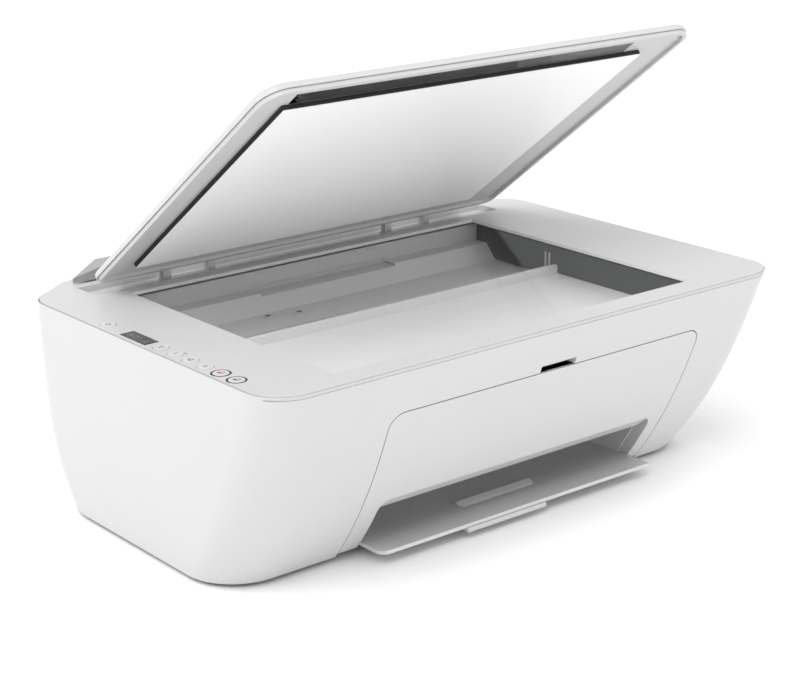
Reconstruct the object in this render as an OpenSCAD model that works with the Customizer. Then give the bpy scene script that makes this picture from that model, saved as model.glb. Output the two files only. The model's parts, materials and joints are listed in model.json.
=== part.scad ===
// Inkjet printer with flatbed scanner. Millimetres, +Z up, front faces -Y.
// Origin: centre of the footprint, on the surface that the printer stands on.

/* [Body] */
// Width of the body at its top rim
body_w = 425; // [380:1:510]
// Depth of the closed printer, rear sheet support included
body_d = 304; // [290:1:350]
// Depth of the top rim
rim_d = 281.2; // [265:0.1:300]
// Height of the top rim above the table
rim_z = 146; // [140:1:180]
// Gap between the table and the body
ground_gap = 3; // [2:0.5:6]
// Wall of the housing
wall = 2.5; // [2:0.1:3]
// How far the front face draws back at the table
front_setback = 73; // [50:1:80]
// How far each side draws in at the table
side_tuck = 9; // [4:1:14]
// How far the back draws in at the table
back_tuck = 14; // [6:1:18]
// Corner radius at the rim
corner_top = 26; // [20:1:34]
// Corner radius at the table
corner_bottom = 37; // [28:1:45]

/* [Scanner] */
// Clear width of the scanning window
window_w = 295; // [280:1:305]
// Clear depth of the scanning window
window_d = 217.6; // [205:0.1:225]
// Margin left of the window, where the controls are
window_left = 57.5; // [54:0.5:66]
// Margin in front of the window
window_front = 19.3; // [16:0.1:24]
// Thickness of the glass
glass_t = 2.4; // [2:0.1:2.8]
// Height of the rim above the glass
glass_drop = 1.6; // [1.2:0.1:2]
// Travel of the scan bar
scan_travel = 300; // [200:1:300]

/* [Lid] */
// Width of the lid
lid_w = 348; // [330:1:352]
// Height of the lid's top above the rim, closed
lid_h = 8.6; // [8:0.1:9.6]
// Angle that the lid stands open
lid_open = 36.9; // [0:0.1:60]
// Height of the hinge axis above the rim
hinge_up = 6; // [5:0.1:6.5]
// Distance of the hinge axis from the rim's rear edge
hinge_in = 18.6; // [16:0.1:22]
// Distance of each hinge from the middle
hinge_x = 96; // [70:1:110]
// Radius of the hinge pins
hinge_pin_r = 1.5; // [1.2:0.1:1.6]
// Width of the foam pad
pad_w = 290; // [270:1:291]
// Depth of the foam pad
pad_d = 215.5; // [200:0.5:216]

/* [Controls] */
// Radius of the button caps
button_r = 5; // [4:0.1:5.2]
// Distance between neighbouring buttons
button_pitch = 16; // [13:0.5:17]
// Travel of a button
button_travel = 0.8; // [0.5:0.1:1]
// Distance of the button row from the left edge
button_in = 8.5; // [8:0.1:12]

/* [Front door] */
// Width of the front door
door_w = 264; // [240:1:280]
// Height of the top of the door above the table
door_top = 113; // [100:1:120]
// Offset of the door and the paper path to the right
path_x = 15; // [5:1:20]
// Width of the paper exit
exit_w = 237.5; // [225:0.5:238]
// Height of the top of the paper exit above the table
exit_top = 45; // [42:1:52]
// Gap around the door
door_gap = 0.7; // [0.4:0.1:0.8]

/* [Paper trays] */
// How far the exit tray reaches in front of the rim's front edge, negative when behind it
tray_reach = -43.3; // [-60:0.1:-20]
// Height of the exit tray's top
tray_z = 10.5; // [10:0.5:14]
// Travel of the exit tray's extender
extender_travel = 90; // [60:1:95]
// Width of the rear sheet support
support_w = 349; // [300:1:352]
// Travel of the rear support's extension
extension_travel = 60; // [40:1:65]
// Travel of the paper width guide
guide_travel = 100; // [60:1:110]

/* [Print engine] */
// Travel of the print carriage
carriage_travel = 280; // [200:1:282]
// Radius of the carriage rod
rod_r = 5; // [4:0.5:6]
// Radius of the feed roller's sleeves
feed_r = 6; // [5:0.5:6.5]
// Module of the gears
gear_m = 1; // [0.8:0.1:1]
// Running clearance of shafts in bores
run = 0.05; // [0.02:0.01:0.1]

/* [Hidden] */

front_edge = -body_d / 2;
rear_edge = body_d / 2;
rim_back = front_edge + rim_d;
half_w = body_w / 2;
fit = 0.4;                       // gap between pieces that pass each other
seam = 0.6;                      // visible joint between neighbouring covers
eps = 0.01;
arc = 12;                        // steps in a quarter turn of the body's corners
layers = 16;                     // steps in the height of the body's curved form
front_curl = 0.3;                // share of the setback that comes from the curve near the table
tuck_power = 4;                  // how late the sides draw in

// ---------- body form ----------
function down(z) = (rim_z - z) / rim_z;
function front_y(z) = front_edge + front_setback
    * ((1 - front_curl) * down(z) + front_curl * pow(down(z), 3));
function side_x(z) = half_w - side_tuck * pow(down(z), tuck_power);
function back_y(z) = rim_back - back_tuck * pow(down(z), tuck_power);
function corner_r(z) = corner_top + (corner_bottom - corner_top) * down(z);

// A rectangle with rounded corners, counter-clockwise from the right rear corner
function rounded(x0, x1, y0, y1, r, n = arc) = [
    for (c = [0:3]) for (i = [0:n])
        let (a = 90 * (c + i / n),
             cx = (c == 0 || c == 3) ? x1 - r : x0 + r,
             cy = (c < 2) ? y1 - r : y0 + r)
        [cx + r * cos(a), cy + r * sin(a)]];
function section(z, inset) = rounded(-side_x(z) + inset, side_x(z) - inset,
    front_y(z) + inset, back_y(z) - inset, max(corner_r(z) - inset, 2));

// The housing's outer form between two heights, drawn in by inset
module body_form(z0, z1, inset, steps = layers) {
    n = 4 * (arc + 1);
    zs = [for (k = [0:steps]) z0 + (z1 - z0) * k / steps];
    points = [for (z = zs) for (p = section(z, inset)) [p[0], p[1], z]];
    sides = [for (k = [0:steps - 1]) for (i = [0:n - 1])
        let (a = k * n + i, b = k * n + (i + 1) % n)
        each [[a, a + n, b], [b, a + n, b + n]]];
    polyhedron(points, concat(sides, [[for (i = [0:n - 1]) i]],
        [[for (i = [n - 1:-1:0]) steps * n + i]]), convexity = 6);
}

// A box given by its limits
module span(x, y, z) {
    translate([x[0], y[0], z[0]]) cube([x[1] - x[0], y[1] - y[0], z[1] - z[0]]);
}
// A cylinder along X between two places
module rod_x(x, y, z, r, fn = 48) {
    translate([x[0], y, z]) rotate([0, 90, 0]) cylinder(h = x[1] - x[0], r = r, $fn = fn);
}
// A cylinder along Y between two places
module rod_y(x, y, z, r, fn = 48) {
    translate([x, y[1], z]) rotate([90, 0, 0]) cylinder(h = y[1] - y[0], r = r, $fn = fn);
}
module rod_z(x, y, z, r, fn = 48) {
    translate([x, y, z[0]]) cylinder(h = z[1] - z[0], r = r, $fn = fn);
}
// An outline in Y and Z carried along X
module along_x(x, outline) {
    translate([x[0], 0, 0]) rotate([90, 0, 90]) linear_extrude(x[1] - x[0]) polygon(outline);
}
// An outline in X and Z carried along Y
module along_y(y, outline) {
    translate([0, y[1], 0]) rotate([90, 0, 0]) linear_extrude(y[1] - y[0]) polygon(outline);
}
module plate(z, outline) {
    translate([0, 0, z[0]]) linear_extrude(z[1] - z[0]) polygon(outline);
}

// ---------- gears ----------
pressure = 20;                   // pressure angle
backlash = 0.12;                 // taken off each tooth's thickness, per module
function involute(base, r) = let (t = sqrt(max(pow(r / base, 2) - 1, 0))) t * 180 / PI - atan(t);
function tooth_half(n, r) = let (rp = gear_m * n / 2, base = rp * cos(pressure))
    (90 / n - backlash * 90 / PI / n) + involute(base, rp) - involute(base, max(r, base));
function gear_outline(n) = let (rp = gear_m * n / 2, root = rp - 1.2 * gear_m,
        tip = rp + 0.9 * gear_m, base = rp * cos(pressure),
        low = max(root + 0.05, base),
        rs = [root, low, (low + rp) / 2, rp, (rp + tip) / 2, tip])
    [for (k = [0:n - 1]) let (mid = 360 * k / n) each concat(
        [for (r = rs) [r * cos(mid - tooth_half(n, r)), r * sin(mid - tooth_half(n, r))]],
        [for (i = [5:-1:0]) let (r = rs[i])
            [r * cos(mid + tooth_half(n, r)), r * sin(mid + tooth_half(n, r))]])];
// A gear on an axis along X, turned by phase
module gear_x(x, y, z, n, bore, phase = 0) {
    difference() {
        translate([x[0], y, z]) rotate([90, 0, 90]) linear_extrude(x[1] - x[0])
            rotate(phase) polygon(gear_outline(n));
        rod_x([x[0] - 1, x[1] + 1], y, z, bore);
    }
}

// ---------- places worked out from the sizes ----------
window_x = [-half_w + window_left, -half_w + window_left + window_w];
window_y = [front_edge + window_front, front_edge + window_front + window_d];
glass_z = rim_z - glass_drop;                    // top of the glass
glass_x = [window_x[0] - 6, window_x[1] + 10];
glass_y = [window_y[0] - 5.6, window_y[1] + 6.4];
bezel_t = 3;
bezel_z = rim_z - bezel_t;                       // underside of the bezel's plate
bezel_in = 1.2;                                  // bezel's outline, drawn in from the rim
shell_top = rim_z - 0.8;
lid_shift = 7.5;                                 // lid's middle, to the right of the window's middle
lid_mid = (window_x[0] + window_x[1]) / 2 + lid_shift;
hinge_y = rim_back - hinge_in;
hinge_z = rim_z + hinge_up;
trough_z = rim_z - 4.5;                          // floor of the hinge trough
trough_x = [lid_mid - lid_w / 2 - 2.5, lid_mid + lid_w / 2 + 2.5];
trough_y = [hinge_y - 12.6, hinge_y + 10.4];
hinge_half = 21;                                 // half width of a hinge bracket
lug_w = 6;
knuckle_r = lid_h - hinge_up;

button_x = -half_w + button_in;
power_y = 35.2;
display_y = [-15.9, 13.5];
display_half = 5.3;
first_y = -26;
button_count = 6;
function button_y(i) = first_y - i * button_pitch;
button_gap = 0.3;
ring_r = button_r + 1.3;
board_z = [rim_z - 9.6, rim_z - 8];
flange_z = [bezel_z - 1.7, bezel_z - 0.3];

door_x = [path_x - 1 - door_w / 2, path_x - 1 + door_w / 2];
exit_x = [path_x + 0.75 - exit_w / 2, path_x + 0.75 + exit_w / 2];
door_round = 10;
exit_round = 8;
door_low = ground_gap + 3;
door_pivot_z = 11;
door_pivot_y = front_y(door_low) + 8.2;
door_pin_r = 2.5;
notch_w = 30;
notch_h = 5.5;

tray_front = front_edge - tray_reach;
tray_x = [exit_x[0] + fit, exit_x[1] - fit];
tray_back = -5;
tray_t = 2.5;
pan_t = 2;
extender_z = [ground_gap + pan_t + 0.3, tray_z - tray_t - 0.3];
extender_x = [path_x - 48, path_x + 20];

paper_half = 108;                                // half of the widest sheet
feed_y = 10;
roll_z = 43;
feed_teeth = 26;
idle_teeth = 44;
pinion_teeth = 10;
idle_y = feed_y - gear_m * (feed_teeth + idle_teeth) / 2;
output_y = idle_y - gear_m * (feed_teeth + idle_teeth) / 2;
output_r = 5;
shaft_r = 4;
output_shaft_r = 3;
star_r = 5;
star_z = roll_z + output_r + star_r + 0.3;
star_shaft_r = 1;
pinion_angle = -3 * 360 / feed_teeth;
pinion_gap = gear_m * (feed_teeth + pinion_teeth) / 2;
pinion_y = feed_y + pinion_gap * cos(pinion_angle);
pinion_z = roll_z + pinion_gap * sin(pinion_angle);
motor_r = pinion_gap - shaft_r - 1.5;
left_plate = [-151.5, -150];
right_plate = [half_w - 11, half_w - 9.5];
gear_x0 = left_plate[0] - 6.5;
gear_x1 = left_plate[0] - 1.5;
back_plate = [48, 49.5];
chassis_top = 110;
platen_x = [path_x - 121, path_x + 123];
platen_wall = 3;
bed_z = 49;

carriage_half = 30;
carriage_x = right_plate[0] - carriage_half - 2.5;   // middle of the parked carriage
carriage_y = [-48, 28];
carriage_z = [55, 105];
rod_y0 = 36;
rod_z0 = 80;
belt_z = 100;
belt_y = [40, 46];
pulley_r = 5.4;
belt_t = 1;
drive_x = left_plate[1] + 10;
idler_x = right_plate[0] - 9;
belt_pin_r = 1.5;

pick_y = 112;
pick_r = 14;
pick_z = 54.5;
pick_shaft_r = 3;
chute_y = [rim_back + 2.5, rear_edge - 3];
support_z = 42;                                  // lower edge of the rear support
support_pivot_z = support_z + 4;
support_pivot_y = rear_edge - 3.2;
support_pin_r = 2;
support_top = rim_z + 9.3;
support_x = support_w / 2;
lip_y = rim_back + 0.7;                          // front edge of the rear support's cap
cap_taper = 36.5;                                // how far the cap's ends lean in at the back
function cap_end(y) = support_x - cap_taper * (y - lip_y) / (rear_edge - lip_y);
plate_x = cap_end(rear_edge);                    // half width of the support's hanging plate
pin_x = plate_x - 6;                             // where the rear support's pins start
guide_x = path_x + paper_half + 3;

tub_floor = rim_z - 24;
tub_low = tub_floor - 4;
tub_top = glass_z - glass_t - 0.2;
tub_t = 2.5;
tub_x = [-half_w + 19.5, window_x[1] + 8];
tub_y = [window_y[0] - 3.3, window_y[1] + 4];
rail_y = [-1, 2.5];
rail_top = tub_floor + 6;
rack_m = 1;
rack_root = 0.3;
scan_pinion_teeth = 10;
scan_pinion_y = rail_y[1] + rack_root + 1.2 * rack_m + rack_m * scan_pinion_teeth / 2;
bar_w = 18;
bar_x = [tub_x[0] + 3, tub_x[0] + 3 + bar_w];
bar_z = [tub_top - 10.3, tub_top - 0.4];
carrier_z = [bar_z[0] - 2.3, bar_z[0] - 0.1];
scan_pinion_x = bar_x[1] + 8.5;

inlet_x = [-126, -102];
inlet_z = [12, 30];
usb_x = [-92, -80];
usb_z = [14, 25];
supply_x = [-188, -158];
supply_y = [58, 98];

white = [0.93, 0.93, 0.92];
grey = [0.62, 0.63, 0.64];
dark = [0.13, 0.13, 0.14];
steel = [0.72, 0.73, 0.75];

// ---------- housing ----------
foot_r = 7;
foot_spots = [[-165, -50], [165, -50], [-165, 92], [165, 92]];
post_spots = [for (s = [-1, 1]) for (y = [-52, 78]) [s * (side_x(ground_gap + 14) - 10.5), y]];
post_r = 4.5;
screw_r = 1.4;
head_r = 3.2;

module base_pan() color(dark) {
    low = ground_gap;
    pan_z = [low, low + pan_t];
    difference() {
        union() {
            plate(pan_z, section(low, wall + fit));
            // rim that stiffens the pan, open where the exit tray passes
            difference() {
                plate([low + pan_t - eps, low + 9], section(low, wall + 0.8));
                plate([low, low + 10], section(low, wall + 2.8));
                span([door_x[0] - 7, door_x[1] + 7], [-100, -50], [low, low + 10]);
            }
        }
        // room for the door's legs to swing
        for (x = [[door_x[0] - door_gap, exit_x[0] + 2], [exit_x[1] - 2, door_x[1] + door_gap]])
            span(x, [-100, door_pivot_y + 6], [low - 1, low + 10]);
        for (s = post_spots) {
            rod_z(s[0], s[1], [low - 1, low + 10], screw_r + 0.1);
            rod_z(s[0], s[1], [low - 1, low + 1.3], head_r + 0.3);
            // the rim is open round each post
            span(s[0] > 0 ? [s[0] - 6, s[0] + 20] : [s[0] - 20, s[0] + 6],
                [s[1] - 6, s[1] + 6], [low + pan_t, low + 10]);
        }
    }
    // lugs that carry the door's pins
    for (x = [[door_x[0] - 5.6, door_x[0] - 0.8], [door_x[1] + 0.8, door_x[1] + 5.6]])
        difference() {
            span(x, [door_pivot_y - 4.6, door_pivot_y + 8], [low + pan_t - eps, 16]);
            rod_x([x[0] - 1, x[1] + 1], door_pivot_y, door_pivot_z, door_pin_r + run);
        }
    // rests for the platen and the power supply
    for (x = [platen_x[0] + 1, platen_x[1] - 6])
        span([x, x + 5], [2, 20], [low + pan_t - eps, 14]);
    for (y = [supply_y[0] + 4, supply_y[1] - 8]) span(supply_x, [y, y + 4], [low + pan_t - eps, 8]);
}

// Outline of the front door in X and Z, grown by g
function arch(x, top, r, low, g, n = 8) = concat(
    [[x[1] + g, low], for (i = [0:n]) [x[1] + g - (r + g) * (1 - cos(90 * i / n)),
        top + g - (r + g) * (1 - sin(90 * i / n))]],
    [for (i = [n:-1:0]) [x[0] - g + (r + g) * (1 - cos(90 * i / n)),
        top + g - (r + g) * (1 - sin(90 * i / n))], [x[0] - g, low]]);

module outer_shell() color(white) {
    front_cut = [front_edge - 10, -55];
    difference() {
        body_form(ground_gap, shell_top, 0);
        body_form(ground_gap - 0.5, bezel_z - 0.2, wall);
        plate([bezel_z - 0.2 - eps, rim_z + 1], section(rim_z, bezel_in - seam));
        along_y(front_cut, arch(door_x, door_top, door_round, ground_gap - 1, door_gap));
        // finger notch over the door
        span([path_x - notch_w / 2, path_x + notch_w / 2], front_cut,
            [door_top - 1, door_top + notch_h]);
        // back opening for the paper path and the connectors
        span([-support_x - 1, support_x + 1], [80, rear_edge], [ground_gap + 4, rim_z - 12]);
    }
    // pocket behind the finger notch
    pocket_z = [door_top + 0.8, min(door_top + notch_h + 1.5, tub_floor - tub_t - 0.3)];
    difference() {
        along_x([path_x - notch_w / 2 - 1.5, path_x + notch_w / 2 + 1.5],
            [[front_y(pocket_z[0]) + 1.2, pocket_z[0]], [front_y(door_top) + 9, pocket_z[0]],
             [front_y(door_top) + 9, pocket_z[1]], [front_y(pocket_z[1]) + 1.2, pocket_z[1]]]);
        span([path_x - notch_w / 2, path_x + notch_w / 2], [front_edge, front_y(door_top) + 7.5],
            [door_top, door_top + notch_h]);
    }
    // screw posts, tied to the side walls
    intersection() {
        body_form(ground_gap, shell_top, 0.5, 6);
        difference() {
            for (s = post_spots) {
                rod_z(s[0], s[1], [ground_gap + pan_t + 0.1, 30], post_r);
                span(s[0] > 0 ? [s[0] + 2, s[0] + 16] : [s[0] - 16, s[0] - 2],
                    [s[1] - 1.2, s[1] + 1.2], [ground_gap + pan_t + 0.1, 30]);
            }
            for (s = post_spots) rod_z(s[0], s[1], [0, 20], screw_r + run);
        }
    }
}

// Plan of the rear housing at a height, drawn in by d
rear_corner = 22.5;              // distance from the support's end to the housing's rear corner
rear_tuck = 25.5;                // how far the rear housing draws in at the table
function rear_side(d, z) = let (w = support_x - rear_corner - rear_tuck * pow(down(z), 3))
    [[w + 52 - d, 90], [w + 52 - d, rim_back - 9.2 - 0.466 * d],
     [w + 24 - 0.497 * d, rear_edge - 8.5 - 0.889 * d], [w - 0.162 * d, rear_edge - 0.5 - d]];
function rear_plan(d, z) = let (r = rear_side(d, z))
    concat(r, [for (i = [3:-1:0]) [-r[i][0], r[i][1]]]);
rear_slope = 3;                  // fall of the rear housing's shoulders
module rear_form(z0, z1, d, steps = 8) {
    zs = [for (k = [0:steps]) z0 + (z1 - z0) * k / steps];
    points = [for (z = zs) for (p = rear_plan(d, z)) [p[0], p[1], z]];
    sides = [for (k = [0:steps - 1]) for (i = [0:7]) let (a = k * 8 + i, b = k * 8 + (i + 1) % 8)
        each [[a, a + 8, b], [b, a + 8, b + 8]]];
    polyhedron(points, concat(sides, [[for (i = [0:7]) i]],
        [[for (i = [7:-1:0]) steps * 8 + i]]), convexity = 6);
}
module rear_block(d) {
    intersection() {
        rear_form(ground_gap + 1 + d, rim_z, d);
        translate([-half_w, rim_back, rim_z - 0.6 - d]) rotate([-rear_slope, 0, 0])
            translate([0, -60, -200]) cube([body_w, 120, 200]);
    }
}
module rear_cover() color(white) {
    wall_y = [rim_back + 0.2, chute_y[0]];
    lug_top = 74;
    difference() {
        rear_block(0);
        difference() {
            rear_block(wall);
            // front wall of the paper chute
            span([-support_x - 8, support_x + 8], wall_y, [lug_top - 4, rim_z]);
        }
        body_form(ground_gap, rim_z + 0.5, -0.25, 10);
        // recess for the folded sheet support, and the slot that the sheets go into
        span([-plate_x - 0.7, plate_x + 0.7], [chute_y[1] - 2, rear_edge + 1],
            [support_z - 2, rim_z + 5]);
        span([-plate_x - 0.7, plate_x + 0.7], [chute_y[0], rear_edge + 1],
            [rim_z - 20, rim_z + 5]);
        // openings for the power inlet and the data port
        span([inlet_x[0] - 0.2, inlet_x[1] + 0.2], [rear_edge - 6, rear_edge + 1],
            [inlet_z[0] - 0.2, inlet_z[1] + 0.2]);
        span([usb_x[0] - 0.2, usb_x[1] + 0.2], [rear_edge - 6, rear_edge + 1],
            [usb_z[0] - 0.2, usb_z[1] + 0.2]);
    }
    // floor that the sheets stand on
    span([path_x - paper_half - 4, path_x + paper_half + 4], [126.4, rear_edge - 2], [36.5, 39]);
    // bearings for the pick roller
    for (x = [[path_x - 39, path_x - 35], [path_x + 35, path_x + 39]])
        difference() {
            span(x, [pick_y - 6, wall_y[1] - eps], [46, lug_top]);
            rod_x([x[0] - 1, x[1] + 1], pick_y, pick_z, pick_shaft_r + run);
        }
    // bearings for the sheet support
    for (x = [[-pin_x - 5.6, -pin_x - fit], [pin_x + fit, pin_x + 5.6]])
        difference() {
            span(x, [support_pivot_y - 5, rear_edge - 0.5], [28, support_z + 8.8]);
            rod_x([x[0] - 1, x[1] + 1], support_pivot_y, support_pivot_z, support_pin_r + run);
        }
}

vent_count = 12;

module power_inlet() color(dark) {
    mid = [(inlet_x[0] + inlet_x[1]) / 2, (inlet_z[0] + inlet_z[1]) / 2];
    face = rear_edge - 0.4;
    difference() {
        union() {
            span(inlet_x, [face - 20, face], inlet_z);
            span([inlet_x[0] - 2, inlet_x[1] + 2], [face - 5, face - 3.2],
                [inlet_z[0] - 2, inlet_z[1] + 2]);
        }
        // figure-eight socket
        for (s = [-1, 1]) rod_y(mid[0] + s * 4.1, [face - 13, face + 1], mid[1], 4);
        span([mid[0] - 4.1, mid[0] + 4.1], [face - 13, face + 1], [mid[1] - 3, mid[1] + 3]);
    }
    for (s = [-1, 1]) rod_y(mid[0] + s * 4.1, [face - 14, face - 7], mid[1], 1.2, 24);
}

module usb_port() color(steel) {
    face = rear_edge - 0.4;
    difference() {
        span(usb_x, [face - 16, face], usb_z);
        span([usb_x[0] + 0.8, usb_x[1] - 0.8], [face - 10, face + 1], [usb_z[0] + 0.8, usb_z[1] - 0.8]);
    }
    span([(usb_x[0] + usb_x[1]) / 2 - 2.6, (usb_x[0] + usb_x[1]) / 2 + 2.6],
        [face - 10 - eps, face - 5], [usb_z[0] + 6.6, usb_z[0] + 8.4]);
}

module feet() color(dark) {
    for (s = foot_spots) translate([s[0], s[1], 0]) rotate_extrude($fn = 48)
        polygon([[0, 0], [foot_r - 0.8, 0], [foot_r, 0.8], [foot_r, ground_gap], [0, ground_gap]]);
}

module case_screws() color(steel) {
    for (s = post_spots) {
        rod_z(s[0], s[1], [ground_gap + 0.05, ground_gap + 1.25], head_r, 32);
        rod_z(s[0], s[1], [ground_gap + 1.2, ground_gap + 14], screw_r, 32);
    }
}

// ---------- scanner ----------
module scan_bezel() color(white) {
    bevel = 2.2;
    difference() {
        union() {
            plate([bezel_z, rim_z], section(rim_z, bezel_in));
            // box under the hinge trough
            span([trough_x[0] - 1.5, trough_x[1] + 1.5], [trough_y[0] - 1.5, trough_y[1] + 1.5],
                [trough_z - 1.5, bezel_z + eps]);
            // lip that locates the bezel in the housing
            difference() {
                body_form(bezel_z - 5, bezel_z + eps, wall + fit, 2);
                body_form(bezel_z - 6, bezel_z + 1, wall + fit + 1.2, 2);
                span([-half_w, -half_w + 40], [-130, 60], [bezel_z - 7, bezel_z + 1]);
            }
        }
        span(window_x, window_y, [bezel_z - 1, rim_z + 1]);
        // pocket for the glass
        span(glass_x, glass_y, [bezel_z - 1, glass_z]);
        // slanted edge around the window
        polyhedron([
            [window_x[0], window_y[0], glass_z - 0.2], [window_x[1], window_y[0], glass_z - 0.2],
            [window_x[1], window_y[1], glass_z - 0.2], [window_x[0], window_y[1], glass_z - 0.2],
            [window_x[0] - 0.6, window_y[0] - 0.6, rim_z + 0.1],
            [window_x[1] + bevel, window_y[0] - 0.6, rim_z + 0.1],
            [window_x[1] + bevel, window_y[1] + bevel, rim_z + 0.1],
            [window_x[0] - 0.6, window_y[1] + bevel, rim_z + 0.1]],
            [[0, 1, 2, 3], [4, 7, 6, 5], [0, 4, 5, 1], [1, 5, 6, 2], [2, 6, 7, 3], [3, 7, 4, 0]]);
        span(trough_x, trough_y, [trough_z, rim_z + 1]);
        // buttons and display
        rod_z(button_x, power_y, [bezel_z - 1, rim_z + 1], button_r + button_gap);
        for (i = [0:button_count - 1])
            rod_z(button_x, button_y(i), [bezel_z - 1, rim_z + 1],
                i < button_count - 2 ? button_r + button_gap : ring_r + 0.05);
        span([button_x - display_half, button_x + display_half], display_y,
            [bezel_z - 1, rim_z + 1]);
    }
}

module scanner_glass() color([0.8, 0.9, 0.92, 0.35])
    span([glass_x[0] + 0.3, glass_x[1] - 0.3], [glass_y[0] + 0.3, glass_y[1] - 0.3],
        [glass_z - glass_t, glass_z]);

// Inner outline of the tub in Y and Z
tub_inside = [[tub_y[0], tub_top + 1], [tub_y[0], tub_floor], [rail_y[1], tub_floor],
    [rail_y[1], tub_low], [tub_y[1] - 23, tub_low], [tub_y[1] - 12.5, tub_low + 11.5],
    [tub_y[1], tub_low + 11.5], [tub_y[1], tub_top + 1]];
tub_outside = [[tub_y[0] - tub_t, tub_top], [tub_y[0] - tub_t, tub_floor - tub_t],
    [rail_y[0], tub_floor - tub_t], [rail_y[0], tub_low - tub_t], [tub_y[1] - 22, tub_low - tub_t],
    [tub_y[1] - 11.5, tub_low + 11.5 - tub_t], [tub_y[1] + tub_t, tub_low + 11.5 - tub_t],
    [tub_y[1] + tub_t, tub_top]];
rack_teeth = floor((tub_x[1] - scan_pinion_x - 2) / (PI * rack_m));
module scanner_tub() color(white) {
    difference() {
        along_x([tub_x[0] - tub_t, tub_x[1] + tub_t], tub_outside);
        along_x(tub_x, tub_inside);
        // corner next to the housing's rounded corner
        plate([tub_low - 5, tub_top + 1], [[tub_x[0] - tub_t - 1, tub_y[0] - tub_t - 1],
            [tub_x[0] - tub_t + 4, tub_y[0] - tub_t - 1], [tub_x[0] - tub_t - 1, tub_y[0] - tub_t + 4]]);
        // pocket that gives the rear wall its step
        span([-60, 58], [tub_y[1] - 16, tub_y[1] + 1], [tub_low + 9.6, tub_low + 13]);
    }
    // rail with its rack
    span([tub_x[0] - eps, tub_x[1] + eps], rail_y, [tub_floor - eps, rail_top]);
    translate([scan_pinion_x, rail_y[1] - eps, tub_floor + 1]) linear_extrude(4.6) polygon(concat(
        [[-12, 0], [-12, rack_root]],
        [for (k = [-3:rack_teeth - 1]) let (x = k * PI * rack_m, w = PI * rack_m / 4 - 0.06)
            each [[x - w - 0.44, rack_root], [x - w + 0.33, rack_root + 2.1],
                  [x + w - 0.33, rack_root + 2.1], [x + w + 0.44, rack_root]]],
        [[tub_x[1] - scan_pinion_x, rack_root], [tub_x[1] - scan_pinion_x, 0]]));
    // ribs on the end wall and two screw bosses
    for (y = [2.5, 6.5]) span([tub_x[1] - 2.2, tub_x[1] + eps], [y + 4, y + 5.5], [tub_floor, tub_top - 6]);
    for (p = [[-67, 58], [-45, 52]]) difference() {
        rod_z(p[0], p[1], [tub_low - eps, tub_low + 1.2], 3, 32);
        rod_z(p[0], p[1], [tub_low + 0.4, tub_low + 2], 1.4, 24);
    }
}

module scan_bar() color(dark) {
    difference() {
        span(bar_x, [tub_y[0] + 2, tub_y[1] - 2.5], bar_z);
        span([bar_x[0] + 5, bar_x[1] - 5], [tub_y[0] + 5, tub_y[1] - 5.5],
            [bar_z[1] - 2, bar_z[1] + 1]);
    }
    // rollers that keep the bar off the glass
    for (y = [tub_y[0] + 3.5, tub_y[1] - 4]) for (x = [bar_x[0] + 2.5, bar_x[1] - 2.5])
        rod_z(x, y, [bar_z[1] - eps, bar_z[1] + 0.3], 1.2, 24);
}
module scan_bar_window() color([0.75, 0.8, 0.82, 0.6])
    span([bar_x[0] + 5.1, bar_x[1] - 5.1], [tub_y[0] + 5.1, tub_y[1] - 5.6],
        [bar_z[1] - 2 + eps, bar_z[1] - 0.2]);

module scan_carrier() color(grey) {
    carrier_x = [bar_x[0] - 1, scan_pinion_x + 7.5];
    difference() {
        span(carrier_x, [-14, 28], carrier_z);
        rod_z(scan_pinion_x, scan_pinion_y, [carrier_z[0] - 1, carrier_z[1] + 1], 1 + run, 32);
    }
    // fingers that run along the rail
    for (x = [bar_x[0] + 1, carrier_x[1] - 10])
        span([x, x + 8], [rail_y[0] - 2.8, rail_y[0] - 0.3], [tub_floor + 2, carrier_z[0] + eps]);
    span([bar_x[0] + 1, bar_x[0] + 9], [rail_y[1] + 3, rail_y[1] + 5.2],
        [tub_floor + 1, carrier_z[0] + eps]);
    // cheeks that hold the bar
    for (x = [bar_x[0] - 1, bar_x[1] + 0.1]) span([x, x + 0.9], [-12, -4], [carrier_z[0], bar_z[0] + 5]);
}
module scan_motor() color(steel)
    difference() {
        rod_z(scan_pinion_x, scan_pinion_y, [carrier_z[1] + 0.05, bar_z[1]], 6.4);
        rod_z(scan_pinion_x, scan_pinion_y, [carrier_z[1] - 1, carrier_z[1] + 4], 1 + run, 32);
    }
module scan_pinion() color(white) {
    translate([scan_pinion_x, scan_pinion_y, tub_floor + 0.8]) linear_extrude(5)
        polygon(gear_outline(scan_pinion_teeth));
    rod_z(scan_pinion_x, scan_pinion_y, [tub_floor + 5.8 - eps, carrier_z[1] + 3.5], 1, 32);
}
module scan_ribbon() color(grey) {
    y = [scan_pinion_y + 8.5, scan_pinion_y + 12.5];
    z = [tub_low + 0.3, tub_low + 3.9];
    span([scan_pinion_x - 6, -20], [y[0], y[0] + 0.3], z);
    span([tub_x[0] + 0.4, -20], [y[1] - 0.3, y[1]], z);
    difference() {
        rod_z(-20, (y[0] + y[1]) / 2, z, (y[1] - y[0]) / 2);
        rod_z(-20, (y[0] + y[1]) / 2, [z[0] - 1, z[1] + 1], (y[1] - y[0]) / 2 - 0.3);
        span([-30, -20], [y[0] - 1, y[1] + 1], [z[0] - 1, z[1] + 1]);
    }
}

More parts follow.
